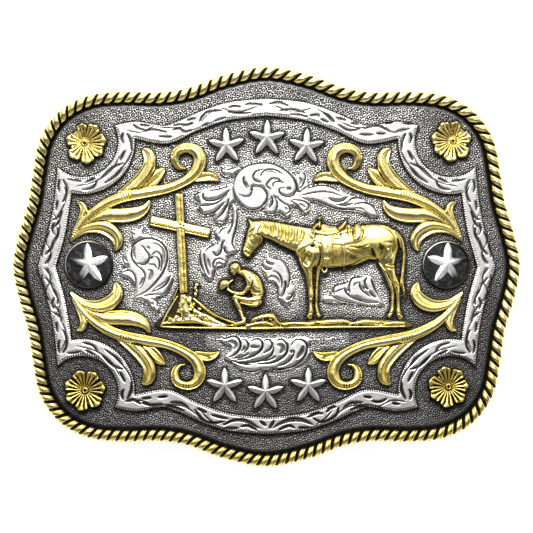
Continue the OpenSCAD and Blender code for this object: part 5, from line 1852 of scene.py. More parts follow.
NE_PETALS = ((172, 4.35, 24), (124, 4.2, 24), (80, 3.9, 21), (14, 3.7, 26), (-48, 4, 27), (-101, 4.2, 25),
             (-148, 4.2, 22))
FLOWERS = (
    RuffledFlower("flower_ne", 36.5, 24.6, NE_PETALS),
    RuffledFlower(
        "flower_nw", -35.6, 24.2, tuple((180 - turn, reach, half) for turn, reach, half in NE_PETALS),
    ),
    RuffledFlower(
        "flower_se", 35.6, -23.5,
        petals=(
            (166, 4.1, 28), (106, 4.1, 27), (52, 4, 26), (2, 4, 24), (-46, 4.2, 24), (-96, 4.3, 25),
            (-146, 4.1, 26),
        ),
    ),
    RuffledFlower(
        "flower_sw", -35.5, -24.2,
        petals=(
            (8, 4.1, 26), (60, 4.1, 26), (112, 4.1, 26), (162, 4.2, 24), (210, 4.2, 24), (258, 4.3, 24),
            (312, 4.2, 27),
        ),
    ),
)


@dataclass
class TwoBeamCross:
    """The cross: two square-ended beams with a groove along their lower edge and nails where they meet."""

    post: tuple[tuple[float, float], tuple[float, float]] = ((-17.1, 14.3), (-16.15, -5.2))
    beam: tuple[tuple[float, float], tuple[float, float]] = ((-22.7, 9.15), (-11, 6.6))
    half_w: float = 0.86
    lower_lip: float = 0.3
    top: float = 1.2
    corner: float = 0.4
    nail_r: float = 0.24
    nail_d: float = 0.3
    # Painted shade patches on the post and along the beam: X, Y, width across, height and darkness.
    painted_shade: tuple[tuple[float, float, float, float, float], ...] = (
        (-16.2, -3.6, 1, 2.2, 0.35), (-16.1, 1.5, 0.35, 3.4, 0.3), (-16.4, 8, 1.3, 1, 0.25),
        (-20.4, 7.9, 2.4, 0.35, 0.35),
    )
    nails: tuple[tuple[float, float], ...] = ((-16.8, 8.15), (-16.15, 7.9), (-16.75, 7.45), (-16.2, 7.3))

    def _lay(self, sheet: ReliefSheet, ends: tuple, profile: tuple, low_w: float) -> None:
        """Lays one beam.

        Args:
            sheet: the sheet it is laid on.
            ends: the middle of its two ends.
            profile: distances across it, left positive, and the share of the height there.
            low_w: half width on its right side.
        """
        a, b = np.array(ends)
        length = math.hypot(*(b - a))
        ahead = (b - a) / length
        u = (sheet.x - a[0]) * ahead[0] + (sheet.y - a[1]) * ahead[1]
        v = (sheet.y - a[1]) * ahead[0] - (sheet.x - a[0]) * ahead[1]
        middle, half = (self.half_w - low_w) / 2, (self.half_w + low_w) / 2
        du = np.abs(u - length / 2) - length / 2 + self.corner
        dv = np.abs(v - middle) - half + self.corner
        round_corner = np.hypot(np.maximum(du, 0), np.maximum(dv, 0))
        outside = round_corner + np.minimum(np.maximum(du, dv), 0) - self.corner
        face = self.top * np.interp(v, *zip(*profile))
        ends_down = np.interp(-np.abs(u - length / 2) + length / 2, (0, 0.1, 0.3), (0.6, 0.9, 1))
        sheet.height = np.where(outside < 0.1, np.maximum(sheet.height, face * ends_down), sheet.height)
        sheet.inside = np.maximum(sheet.inside, -outside)

    def sheet(self) -> ReliefSheet:
        """Lays the beams and sinks the nails."""
        sheet = ReliefSheet((-25.6, -7.6), (-8.4, 16.8), step=0.09)
        w = self.half_w
        self._lay(sheet, self.post, (
            (-w, .45), (-w + .15, .78), (-w + .32, .93), (0, 1), (.12, .86), (.24, .62), (.38, .84),
            (w - .25, .9), (w - .1, .74), (w, .45)), w)
        self._lay(sheet, self.beam, (
            (-w - .3, .3), (-w - .18, .6), (-w + .06, .68), (-w + .16, .34), (-w + .28, .6), (-w + .4, 1),
            (0, .97), (w - .2, .88), (w - .1, .74), (w, .45)), w + self.lower_lip)
        # Paints shade on the post and the beam's lower side.
        for x, y, across, tall, share in self.painted_shade:
            sheet.shade_patch(x, y, across, tall, share)
        for x, y in self.nails:
            sheet.pit(x, y, self.nail_r, self.nail_d)
        sheet.settle(0.05)
        return sheet

    def dress(self, finishes: Finishes, plate: FieldPlate) -> None:
        """Builds the cross and plates it."""
        sheet = self.sheet()
        plate.gather(sheet, spread=0.1)
        enrol(sheet.build("two_beam_cross", sheet.stained(slope_shade=0.25)), "cross", Slot.GOLD, finishes.gold)


@dataclass
class StonyGround:
    """The strip of ground: the stony mound on the left, the fallen log, turf ridges to the right."""

    outline: Rows = (
        (-20.9, -11.9), (-19.9, -9.6), (-18.4, -7), (-17.4, -5.5), (-15.3, -5.5), (-14, -6.1),
        (-11.6, -8.2), (-9, -9.8), (-6, -10.8), (-3.4, -11), (-2.6, -9.9), (-1, -9.4), (0.8, -8.9),
        (1.7, -9.3), (2.6, -10.8), (6, -10.75), (11, -10.35), (15, -10.1), (16.9, -10.75), (19, -10.1),
        (23, -10.45), (27.2, -10.7), (27.3, -11.9), (12, -12.1), (-6, -12.3),
    )
    slab: float = 0.6
    recess_stain: float = 0.97
    turf_stain: float = 0.74
    slit_w: float = 0.34
    slit_d: float = 0.36
    ridges: tuple[Rows, ...] = (
        ((-20.5, -11.6, 0.3, 0.9), (-19.6, -9.6, 0.32, 0.9), (-18.3, -7.3, 0.3, 0.85),
         (-17.4, -5.9, 0.24, 0.8)),
        ((-14.1, -6.3, 0.34, 1.15), (-12, -8, 0.42, 1.3), (-9.9, -9.4, 0.42, 1.25),
         (-7.9, -10.35, 0.36, 1.1), (-6.1, -11, 0.28, 0.95)),
        ((-14.2, -8.3, 0.35, 1), (-12.9, -9.3, 0.7, 1.15), (-11.4, -10.1, 0.85, 1.15),
         (-9.6, -10.9, 0.6, 1), (-8, -11.4, 0.3, 0.9)),
        ((-13.9, -10.4, 0.4, 1), (-12.2, -11, 0.5, 1.05), (-9.8, -11.5, 0.4, 1), (-6.6, -11.5, 0.34, 0.95)),
        ((-20.1, -11.1, 0.3, 0.9), (-18.4, -10.8, 0.5, 1), (-16.4, -10.5, 0.8, 1.05),
         (-14.2, -10.4, 0.8, 1.05), (-12.6, -10.9, 0.5, 0.95)),
        ((-16.3, -5.9, 0.7, 1.15), (-16.1, -7.6, 0.95, 1.25), (-15.7, -9.4, 1.1, 1.15)),
        ((-20.6, -11.75, 0.2, 0.8), (-15, -11.9, 0.24, 0.95), (-9, -11.95, 0.26, 0.95),
         (-4, -12.05, 0.24, 0.9)),
        ((-3, -10.5, 0.4, 0.95), (-1.4, -9.95, 0.6, 1.3), (0.2, -9.65, 0.62, 1.3), (1.3, -9.85, 0.5, 1.15),
         (2.1, -10.7, 0.4, 1), (2.8, -11.5, 0.3, 0.9)),
        ((-5.2, -11.75, 0.24, 0.9), (-3.4, -11.4, 0.34, 1), (-1.6, -11, 0.42, 1.1), (0, -11, 0.4, 1.1),
         (1.2, -11.4, 0.34, 1)),
        ((3, -11.2, 0.3, 1), (5.4, -11.05, 0.46, 1.15), (8, -11.15, 0.4, 1.1), (9.7, -11, 0.34, 1)),
        ((9.8, -10.9, 0.34, 1.05), (12.2, -10.75, 0.5, 1.2), (14.9, -10.65, 0.44, 1.15),
         (16.5, -11.1, 0.3, 0.95)),
        ((16.2, -11.35, 0.3, 0.95), (18.4, -10.85, 0.5, 1.2), (20.6, -10.8, 0.44, 1.15),
         (22.8, -11, 0.32, 1)), ((22.4, -11.3, 0.3, 0.95), (24.6, -11, 0.42, 1.1), (26.9, -11.1, 0.34, 1)),
        ((-3, -12.05, 0.2, 0.85), (4, -11.9, 0.22, 0.95), (12, -11.8, 0.24, 0.95), (20, -11.75, 0.23, 0.95),
         (27, -11.65, 0.2, 0.85)),
        ((4.4, -11.45, 0.12, 0.75), (6, -11.4, 0.15, 0.85), (8.6, -11.45, 0.12, 0.8)),
        ((10.4, -11.3, 0.12, 0.75), (12.4, -11.15, 0.16, 0.85), (14.6, -11.2, 0.12, 0.8)),
        ((18.8, -11.3, 0.12, 0.8), (21, -11.3, 0.15, 0.85), (22.4, -11.5, 0.12, 0.8)),
    )
    stones: tuple[tuple[float, float, float, float], ...] = (
        (-14.4, -7.7, 0.7, 1.3), (-13.9, -9.2, 0.75, 1.35), (-15.1, -6.6, 0.75, 1.4),
        (-16.7, -8.7, 0.75, 1.35), (-16.4, -7.3, 1.05, 1.5), (-15.9, -6.1, 0.95, 1.55),
        (-15.4, -8.6, 0.75, 1.35), (-14.9, -9.9, 0.65, 1.3), (-18.8, -10.4, 0.62, 1.3),
        (-17.5, -10.1, 0.72, 1.35), (-16.2, -9.9, 0.6, 1.3), (-13, -8.3, 0.4, 1.25), (-13, -9.8, 0.5, 1.35),
        (-11.6, -10, 0.55, 1.35), (-10.4, -10.7, 0.45, 1.2), (-12.4, -10.9, 0.4, 1.15),
        (-9, -11.2, 0.35, 1.1), (-2.1, -10.3, 0.45, 1.35), (-0.7, -9.9, 0.5, 1.45), (0.8, -10, 0.45, 1.4),
        (-0.2, -10.9, 0.4, 1.25),
    )
    sprig: tuple[tuple[float, float, float, float], ...] = (
        (-13.6, -3.55, 0.42, 1.2), (-13.85, -4.2, 0.42, 1.15), (-13.65, -4.85, 0.42, 1.2),
        (-13.8, -5.5, 0.42, 1.15),
    )
    twig: Rows = ((-17.25, -4.1, 0.15, 0.95), (-17.6, -5, 0.18, 1), (-18.2, -6.4, 0.18, 1))
    slits: tuple[Rows, ...] = (
        ((-17.9, -11.42), (-14.6, -11.36), (-11.8, -11.45)),
        ((-16.9, -9.6), (-16.3, -10.1), (-16.5, -10.7)), ((-14.7, -7.4), (-13.4, -8.4), (-12, -9.2)),
        ((-14.9, -8.6), (-14.2, -9.2), (-13.2, -9.4)), ((-9.8, -10.1), (-8.4, -10.7), (-6.8, -11.1)),
        ((-19.3, -10.8), (-18.9, -10.75), (-18.4, -10.8)),
        ((-2.4, -10.6), (-0.6, -10.15), (1, -10.1), (1.7, -10.75)), ((-5.6, -11.7), (-4, -11.4)),
        ((4, -11.25), (7.4, -11.3)), ((9.3, -11.1), (10.4, -11.05)), ((16.4, -11.5), (17.4, -11.15)),
        ((22.2, -10.9), (23, -11.25)), ((-12, -9.7), (-11.4, -10.2)), ((-8.2, -11.6), (-6.4, -11.65)),
        ((2.2, -11.4), (3.2, -11.5)),
    )

    def sheet(self) -> ReliefSheet:
        """Raises the slab, its ridges, stones and dry plants and cuts the slits."""
        sheet = ReliefSheet((-23.4, -14.8), (29.8, -2.2), step=0.1)
        sheet.inside = sheet.outline(smooth(self.outline, 3, closed=True), 1.4)
        sheet.height = np.where(sheet.inside > -0.2, self.slab, 0.0)
        kept = sheet.inside.copy()
        for rows in self.ridges:
            sheet.raise_stroke(Stroke(rows), blend=0.06)
        for x, y, radius, top in self.stones:
            sheet.rock(x, y, radius, top)
        sheet.inside = kept
        for x, y, radius, top in self.sprig:
            sheet.rock(x, y, radius, top)
        sheet.raise_stroke(Stroke(self.twig))
        held = np.interp(sheet.x, (-9.5, -6.5), (self.recess_stain, self.turf_stain))
        low = np.clip((self.slab + 0.25 - sheet.height) / 0.15, 0, 1) * held
        sheet.stain = np.maximum(sheet.stain, low)
        sheet.cuts(self.slits, self.slit_w, self.slit_d)
        sheet.settle(0.05)
        return sheet

    def dress(self, finishes: Finishes, plate: FieldPlate) -> None:
        """Builds the ground and plates it."""
        sheet = self.sheet()
        plate.gather(sheet, spread=0.1)
        enrol(sheet.build("stony_ground"), "ground", Slot.GOLD, finishes.gold)


@dataclass
class StandingHorse:
    """The horse, facing left with its head down, all four legs on the ground."""

    barrel: tuple[Rows, ...] = (
        ((7.6, 3.3, 1.6, 1.3), (9.6, 3.5, 2.9, 1.75), (12.5, 3.45, 3.7, 2), (16, 3.9, 3.75, 2.05),
         (19.4, 4.7, 3.4, 1.95), (22.4, 4.8, 3.35, 2), (24.3, 4.6, 2.2, 1.7), (25.2, 4.4, 1, 1.3)),
        ((-1.3, 8, 0.8, 1.25), (-1.8, 6.9, 1.75, 1.6), (-2.4, 5.4, 1.6, 1.55), (-3.2, 3.9, 1.2, 1.35),
         (-3.7, 2.9, 0.95, 1.15), (-3.6, 2.3, 0.6, 0.95)),
        ((6.6, 2.6, 0.9, 1.5), (8.6, 3, 1.5, 1.85), (9, 1.2, 1, 1.75), (8.3, -0.2, 0.7, 1.5)),
    )
    neck: Rows = (
        (10, 4.3, 3, 1.6), (6.9, 5.1, 2.65, 1.65), (4.2, 5.9, 2.25, 1.65), (1.6, 6.8, 1.85, 1.55),
        (-0.6, 7.3, 1.65, 1.5), (-2.2, 7.7, 1.15, 1.25),
    )
    limbs: tuple[Rows, ...] = (
        ((10.2, 1.2, 1.1, 1.1), (10.1, -0.6, 0.5, 0.85), (9.85, -3.2, 0.3, 0.8), (9.75, -5.6, 0.32, 0.8),
         (9.7, -7.2, 0.26, 0.75), (9.85, -8.6, 0.38, 0.75), (10.2, -9.6, 0.48, 0.8)),
        ((7.6, 2.6, 1.7, 1.5), (7.9, 0.4, 1.25, 1.45), (8.3, -1.6, 0.75, 1.25), (8.55, -3.8, 0.55, 1.1),
         (8.65, -5.6, 0.55, 1.15), (8.6, -7.2, 0.38, 1), (8.65, -8.7, 0.5, 1.05), (8.4, -9.8, 0.62, 0.95)),
        ((22.3, 1.8, 0.9, 1.1), (23.1, -0.7, 0.6, 0.95), (24.1, -3.2, 0.5, 0.9), (24.65, -5, 0.36, 0.85),
         (24.6, -7.6, 0.34, 0.8), (24.45, -8.7, 0.42, 0.85), (24, -9.7, 0.5, 0.85)),
        ((23.4, 5, 2.4, 1.85), (23.7, 2.4, 1.7, 1.7), (23.95, 0.2, 1.15, 1.45), (24.6, -1.9, 0.75, 1.25),
         (25.4, -3.7, 0.62, 1.2), (25.65, -5.4, 0.45, 1.05), (25.75, -7.8, 0.42, 0.95),
         (25.8, -8.9, 0.52, 1), (26.1, -9.9, 0.62, 0.9)),
    )
    tail: Rows = (
        (24.9, 6.9, 0.4, 1.3), (26, 5.8, 0.42, 1.15), (26.65, 4, 0.4, 1), (26.8, 1.6, 0.36, 0.95),
        (26.65, -0.8, 0.4, 0.9), (26.45, -3, 0.42, 0.8), (26.75, -4.8, 0.3, 0.65), (27.1, -6, 0.12, 0.4),
    )
    ears: tuple[Rows, ...] = (((-2.4, 7.9, 0.5, 1.25), (-3, 8.5, 0.38, 1.15), (-3.45, 9.15, 0.12, 0.75)),)
    creases: tuple[tuple[Rows, float, float], ...] = (
        (((-0.3, 5.5), (-1.1, 6.1), (-2, 6.3)), 0.45, 0.34),
        (((-1.9, 6.4), (-1.2, 5.4), (-1.6, 4.3)), 0.34, 0.22),
        (((-4, 3.7), (-3.3, 3.35), (-2.5, 3.1)), 0.28, 0.22),
        (((-3.7, 8.1), (-4, 6.2), (-4.3, 4.4)), 0.3, 0.22), (((-4.1, 2.9), (-3.8, 2.7)), 0.38, 0.32),
        (((-4, 2.3), (-3.4, 2.45), (-3, 2.3)), 0.22, 0.2), (((-2.75, 8.2), (-3.1, 8.75)), 0.22, 0.24),
        (((-2.3, 7.6), (-2.7, 7.1), (-3.4, 6.7)), 0.26, 0.2),
        (((-2, 3.4), (-3.1, 4.8), (-3.5, 6)), 0.24, 0.16),
        (((-1, 8), (-1.6, 7.2), (-1.7, 6.4)), 0.26, 0.16), (((7.6, 2), (7.3, 0.9), (7.9, 0.1)), 0.34, 0.2),
        (((8.7, 4), (9.3, 4.15)), 0.6, 0.42),
        (((10.3, 3.9), (10.55, 2.4), (10.2, 0.6), (9.4, -0.8)), 0.42, 0.34),
        (((7.9, -1.4), (8.2, -3.4), (8.3, -5)), 0.2, 0.16),
        (((6.5, 1.9), (7.2, 2.6), (7.6, 3.3)), 0.28, 0.16),
        (((8.1, 2.9), (8.7, 2.3), (8.6, 1.4)), 0.26, 0.16),
        (((8.2, -0.7), (9, -1), (9.6, -0.6)), 0.26, 0.16),
        (((8.3, -6.2), (8.7, -6.1), (9.1, -6.3)), 0.2, 0.16),
        (((20.5, 3.7), (20.75, 2.8), (21.3, 1.8)), 1.35, 0.3),
        (((21.4, 1.7), (22.3, 0.6), (23.2, -0.6)), 0.34, 0.24),
        (((23.1, 3.6), (23.35, 2.6), (23.2, 1.6)), 0.3, 0.18),
        (((24.35, 4), (24.55, 2.8), (24.3, 1.6)), 0.3, 0.18),
        (((23.1, 0.5), (24.4, 0.3), (25.3, 0.5)), 0.28, 0.2),
        (((23.3, -0.25), (24.4, -0.4), (25.2, -0.25)), 0.24, 0.18),
        (((22, 4.6), (22.5, 3.3), (22.2, 2.2)), 0.4, 0.16),
        (((23.4, -0.8), (23.9, -2), (24.6, -3)), 0.24, 0.18),
        (((25.1, -3), (25.6, -3.6), (26, -3.6)), 0.24, 0.18),
        (((8.1, -9.2), (8.6, -9.05), (9.2, -9.3)), 0.2, 0.18),
        (((25.4, -9.3), (26, -9.15), (26.6, -9.4)), 0.2, 0.18),
        (((9.5, -9.1), (10, -9), (10.5, -9.2)), 0.16, 0.14),
        (((23.7, -9.1), (24.2, -9), (24.7, -9.2)), 0.16, 0.14),
        (((25.5, 5.6), (25.95, 3), (25.9, -0.4), (26, -2.6)), 0.62, 0.7),
        (((26.9, 3), (26.95, 0), (26.75, -2.6)), 0.14, 0.14),
        (((23.2, 7.5), (24.4, 6.7), (25.2, 5.4)), 0.3, 0.18),
        (((12.2, -0.02), (14.9, -0.1), (17.1, 0.62), (19.4, 1.85), (20.5, 1.9)), 0.26, 0.2),
        (((15.5, 3.5), (17.4, 2.3), (19.4, 1.5)), 0.26, 0.16),
        (((16.2, 3.9), (18.2, 3.7), (20, 4.3)), 0.3, 0.14),
    )
    straps: tuple[tuple[Rows, float, float], ...] = (
        (((5.6, 2.2), (6.9, 3.7), (8.8, 4.9)), 0.42, 0.26), (((23.75, 3.3), (23.85, 1.5)), 0.2, 0.14),
        (((-3.5, 3), (-2.9, 3.4), (-2.2, 3.4)), 0.14, 0.1),
    )
    # Painted shade patches on the belly, flank, legs and head: X, Y, width across, height and darkness.
    painted_shade: tuple[tuple[float, float, float, float, float], ...] = (
        (18.6, 3.7, 2.8, 0.85, 0.86), (17, 1.9, 2.2, 1.3, 0.76), (22.4, 3.8, 1.8, 1.3, 0.82),
        (24.9, 4.6, 0.8, 2.3, 0.75), (20.8, 2.6, 0.75, 1.1, 0.95), (12.9, 1.2, 0.5, 1.9, 0.7),
        (15.5, 1.2, 0.5, 1.9, 0.6), (8, 2.3, 1.9, 1.8, 0.7), (13.4, 2.4, 1.5, 2.4, 0.7),
        (-1.3, 5.3, 1.2, 1.1, 0.4), (-3.6, 3, 0.8, 0.9, 0.45), (4.6, 4, 3.2, 0.7, 0.4),
        (8.3, -3, 0.35, 5, 0.55), (9.9, -4.5, 0.3, 5, 0.55), (25.2, -2.6, 0.8, 1.6, 0.45),
        (24.2, 0.1, 1.4, 0.8, 0.5), (-2.9, 6.2, 0.7, 1.1, 0.4), (11, 0.6, 1, 1, 0.55),
        (24.5, -6.5, 0.3, 4, 0.5), (25.6, -7, 0.25, 3.6, 0.4), (23, 0.2, 0.4, 2, 0.6),
        (19.4, 7.5, 0.45, 0.45, 0.75), (6.8, 3, 0.7, 1.2, 0.45),
    )
    mane_from: Rows = ((-1.6, 8.9), (0.4, 8.75), (2.8, 8.4), (5, 7.85), (7.4, 7.15))
    mane_to: Rows = ((-0.5, 6.6), (0.9, 6.1), (2.9, 5.1), (4.9, 4.5), (6.9, 4.6))
    mane_strands: int = 17
    mane_w: float = 0.34
    mane_d: float = 0.24
    mane_dark: float = 0.85
    crease_wide: float = 1.22
    crease_deep: float = 1.1
    eye: tuple[float, float] = (-2.95, 5.85)
    eye_r: float = 0.3
    eye_d: float = 0.2
    eye_dark: float = 0.9

    def sheet(self) -> ReliefSheet:
        """Blends the body's masses, sets the limbs in and cuts creases, mane and eye."""
        sheet = ReliefSheet((-7.6, -12.6), (29.8, 11.6), step=0.1)
        for rows in self.limbs[:1] + self.limbs[2:3]:
            sheet.raise_stroke(Stroke(rows), blend=0.1)
        for rows in self.barrel:
            sheet.raise_stroke(Stroke(rows), blend=0.35)
        sheet.raise_stroke(Stroke(self.neck, Section.FLAT), blend=0.3)
        for rows in (self.limbs[1], self.limbs[3]):
            sheet.raise_stroke(Stroke(rows), blend=0.25)
        for rows in (self.tail, *self.ears):
            sheet.raise_stroke(Stroke(rows), blend=0.08)
        self._comb_mane(sheet)
        for rows, wide, thick in self.straps:
            sheet.band(rows, wide, thick)
        for rows, wide, deep in self.creases:
            sheet.cut(rows, wide * self.crease_wide, deep * self.crease_deep)
        # Paints shade on the lower body, the legs and the head.
        for x, y, across, tall, share in self.painted_shade:
            sheet.shade_patch(x, y, across, tall, share)
        self._ring_eye(sheet)
        sheet.settle(0.07)
        return sheet

    def _comb_mane(self, sheet: ReliefSheet) -> None:
        """Cuts the gaps between the mane's strands, some shorter and more bent than others."""
        high, low = smooth(self.mane_from, 12), smooth(self.mane_to, 12)
        for i, share in enumerate(np.linspace(0.02, 0.98, self.mane_strands)):
            k = int(share * (len(high) - 1))
            a, b = high[k], low[k]
            stop = a + (b - a) * (0.72 + 0.28 * abs(math.sin(i * 2.1)))
            bend = (a + stop) / 2 + (0.12 + 0.1 * math.sin(i * 1.7), 0)
            wide = self.mane_w + 0.06 * math.sin(i * 3.3)
            sheet.cut((a, bend, stop), wide, self.mane_d, blunt=0.3, dark=self.mane_dark)

    def _ring_eye(self, sheet: ReliefSheet) -> None:
        """Cuts a dark ring round the eye."""
        away = np.hypot(sheet.x - self.eye[0], (sheet.y - self.eye[1]) * 1.3)
        from_ring = np.abs(away - self.eye_r)
        sheet.depth = np.maximum(sheet.depth, self.eye_d * fall(from_ring, 0.16))
        sheet.stain = np.maximum(sheet.stain, self.eye_dark * fall(from_ring, 0.18))

    def dress(self, finishes: Finishes, plate: FieldPlate) -> ReliefSheet:
        """Builds the horse and plates it; its sheet is kept for the saddle that lies on it."""
        sheet = self.sheet()
        plate.gather(sheet, spread=0.34)
        enrol(sheet.build("standing_horse"), "horse", Slot.GOLD, finishes.gold)
        return sheet


@dataclass
class StockSaddle:
    """The saddle with its horn and cantle, fender, stirrup, cinch, blanket and bedroll."""

    blanket: tuple[Rows, ...] = (
        ((9.2, 6.1, 0.85, 0.28), (10.6, 5.5, 1.15, 0.32)),
        ((12.6, 5.5, 1.25, 0.3), (15, 5.45, 1.3, 0.34), (17.4, 5.85, 1.3, 0.32), (19, 6.4, 0.9, 0.26)),
    )
    leather: tuple[Rows, ...] = (
        ((9.4, 7, 0.75, 0.55), (10.6, 7.2, 1.1, 0.68), (12.2, 6.9, 1, 0.66), (13.8, 6.95, 0.85, 0.62),
         (15, 7.4, 0.95, 0.64), (16, 7.3, 0.8, 0.55)),
        ((11.7, 6, 1.25, 0.62), (11.75, 4.4, 1.15, 0.64), (11.9, 2.9, 1.1, 0.62), (12.05, 2, 0.9, 0.56)),
        ((11.6, 1.6, 0.55, 0.52), (11.45, 0.9, 0.44, 0.5), (11.3, 0.2, 0.42, 0.46)),
    )
    roll: Rows = ((17.75, 7.5, 0.8, 0.9), (17.85, 6.5, 0.9, 1), (17.6, 5.4, 0.75, 0.85))
    ends: tuple[Rows, ...] = (
        ((8.95, 6.6, 0.35, 2), (9.25, 7.4, 0.42, 2.15), (9.85, 8.1, 0.36, 2.3), (10.3, 8.35, 0.24, 2.35)),
        ((10.3, 7.9, 0.4, 2.5), (10.35, 8.6, 0.23, 2.45), (10.3, 9.15, 0.22, 2.4)),
        ((10.02, 9.36, 0.2, 2.4), (10.3, 9.44, 0.27, 2.45), (10.62, 9.36, 0.2, 2.4)),
        ((14.2, 7.3, 0.45, 2.5), (14.8, 7.85, 0.42, 2.55), (15.3, 8.5, 0.3, 2.5), (15.55, 9, 0.14, 2.3)),
    )
    cuts: tuple[tuple[Rows, float, float], ...] = (
        (((9.6, 6.5), (11.5, 6.05), (13.7, 6.5), (14.7, 7.1)), 0.3, 0.28),
        (((13.1, 5.45), (14.3, 5.45)), 0.26, 0.22), (((10.9, 8), (12.6, 7.5), (14.5, 7.8)), 0.24, 0.18),
        (((18.75, 7.9), (18.85, 6.6), (18.5, 5.1)), 0.34, 0.3),
        (((16.95, 8.2), (16.8, 6.9), (16.9, 5.2)), 0.34, 0.3),
        (((15.9, 8.2), (15.75, 6.9), (16.1, 5.6)), 0.28, 0.24),
        (((16.4, 8.3), (16.3, 7.3), (16.5, 6.3)), 0.26, 0.2), (((15.8, 6.9), (16.5, 6.5)), 0.22, 0.16),
        (((10.5, 4.3), (10.75, 2.9), (10.95, 1.7)), 0.4, 0.34),
        (((12.95, 4.3), (13.05, 3.1), (13, 1.9)), 0.36, 0.34), (((11.1, 1.75), (12.3, 1.65)), 0.24, 0.2),
        (((12.9, 4.2), (15.2, 4.1), (17.6, 4.5), (19.6, 5.3)), 0.26, 0.2),
        (((9.3, 5.3), (9.6, 6.2), (9.4, 7)), 0.26, 0.22),
        (((11.4, 5.6), (11.9, 4.2), (11.7, 3)), 0.16, 0.08), (((14.35, 6.9), (14.5, 5.4)), 0.2, 0.16),
        (((12.95, 6.1), (14.2, 6.2)), 0.18, 0.12), (((10.2, 9), (10.5, 8.85), (10.8, 9)), 0.2, 0.18),
        (((17.3, 7), (18.3, 6.9)), 0.14, 0.08),
    )
    cinch: tuple[Rows, ...] = (
        ((14.85, 6.9, 0.34, 0.44), (14.9, 4.2, 0.32, 0.42), (14.98, 1.8, 0.3, 0.4),
         (15.1, -0.2, 0.34, 0.42)),
    )
    cinch_shade: Rows = ((15.36, 4.1), (15.42, 1.9), (15.5, 0.1))
    stirrup: tuple[float, float, float] = (11.3, -0.4, 0.66)
    stirrup_w: float = 0.23
    above_back: float = 0.7

    def sheet(self, horse: ReliefSheet) -> ReliefSheet:
        """Lays the saddle over the horse.

        Args:
            horse: the horse's sheet, on the same spacing.

        Returns:
            The saddle's sheet.
        """
        sheet = ReliefSheet((7.4, -2.6), (20.4, 11.4), step=horse.step)
        i, j = (int(round((sheet.low[k] - horse.low[k]) / horse.step)) for k in (1, 0))
        rows, cols = sheet.x.shape
        part = np.s_[i:i + rows, j:j + cols]
        under = np.where(horse.inside[part] > 0, horse.height[part], 0)
        over_back = np.where((under < self.above_back) & (sheet.y > 6), self.above_back, under)
        layers = ((self.blanket, Section.FLAT), (self.cinch, Section.ROUND), (self.leather, Section.FLAT),
                  ((self.roll,), Section.ROUND))
        for strokes, section in layers:
            layer = ReliefSheet(sheet.low, sheet.high, step=horse.step)
            for stroke in strokes:
                layer.raise_stroke(Stroke(stroke, section), blend=0.05)
            sheet.height = np.where(layer.inside > 0, np.maximum(sheet.height, layer.height), sheet.height)
            sheet.inside = np.maximum(sheet.inside, layer.inside)
        x, y, radius = self.stirrup
        away = np.hypot(sheet.x - x, (sheet.y - y) * 0.68)
        ring = self.stirrup_w - np.abs(away - radius + 0.19)
        sheet.height = np.where(ring > 0, np.maximum(sheet.height, 0.5 + 0.8 * ring), sheet.height)
        sheet.inside = np.maximum(sheet.inside, ring)
        sheet.height = over_back + sheet.height
        for stroke in self.ends:
            sheet.raise_stroke(Stroke(stroke), blend=0.15)
        for line, wide, deep in (*self.cuts, (self.cinch_shade, 0.34, 0.4)):
            sheet.cut(line, wide, deep)
        sheet.height = np.maximum(sheet.blurred(sheet.height, 0.06) - sheet.depth, under + 0.06)
        return sheet

    def dress(self, finishes: Finishes, plate: FieldPlate, horse: ReliefSheet) -> None:
        """Builds the saddle on the horse and plates it."""
        sheet = self.sheet(horse)
        plate.gather(sheet, spread=0.15)
        enrol(sheet.build("stock_saddle"), "saddle", Slot.GOLD, finishes.gold)


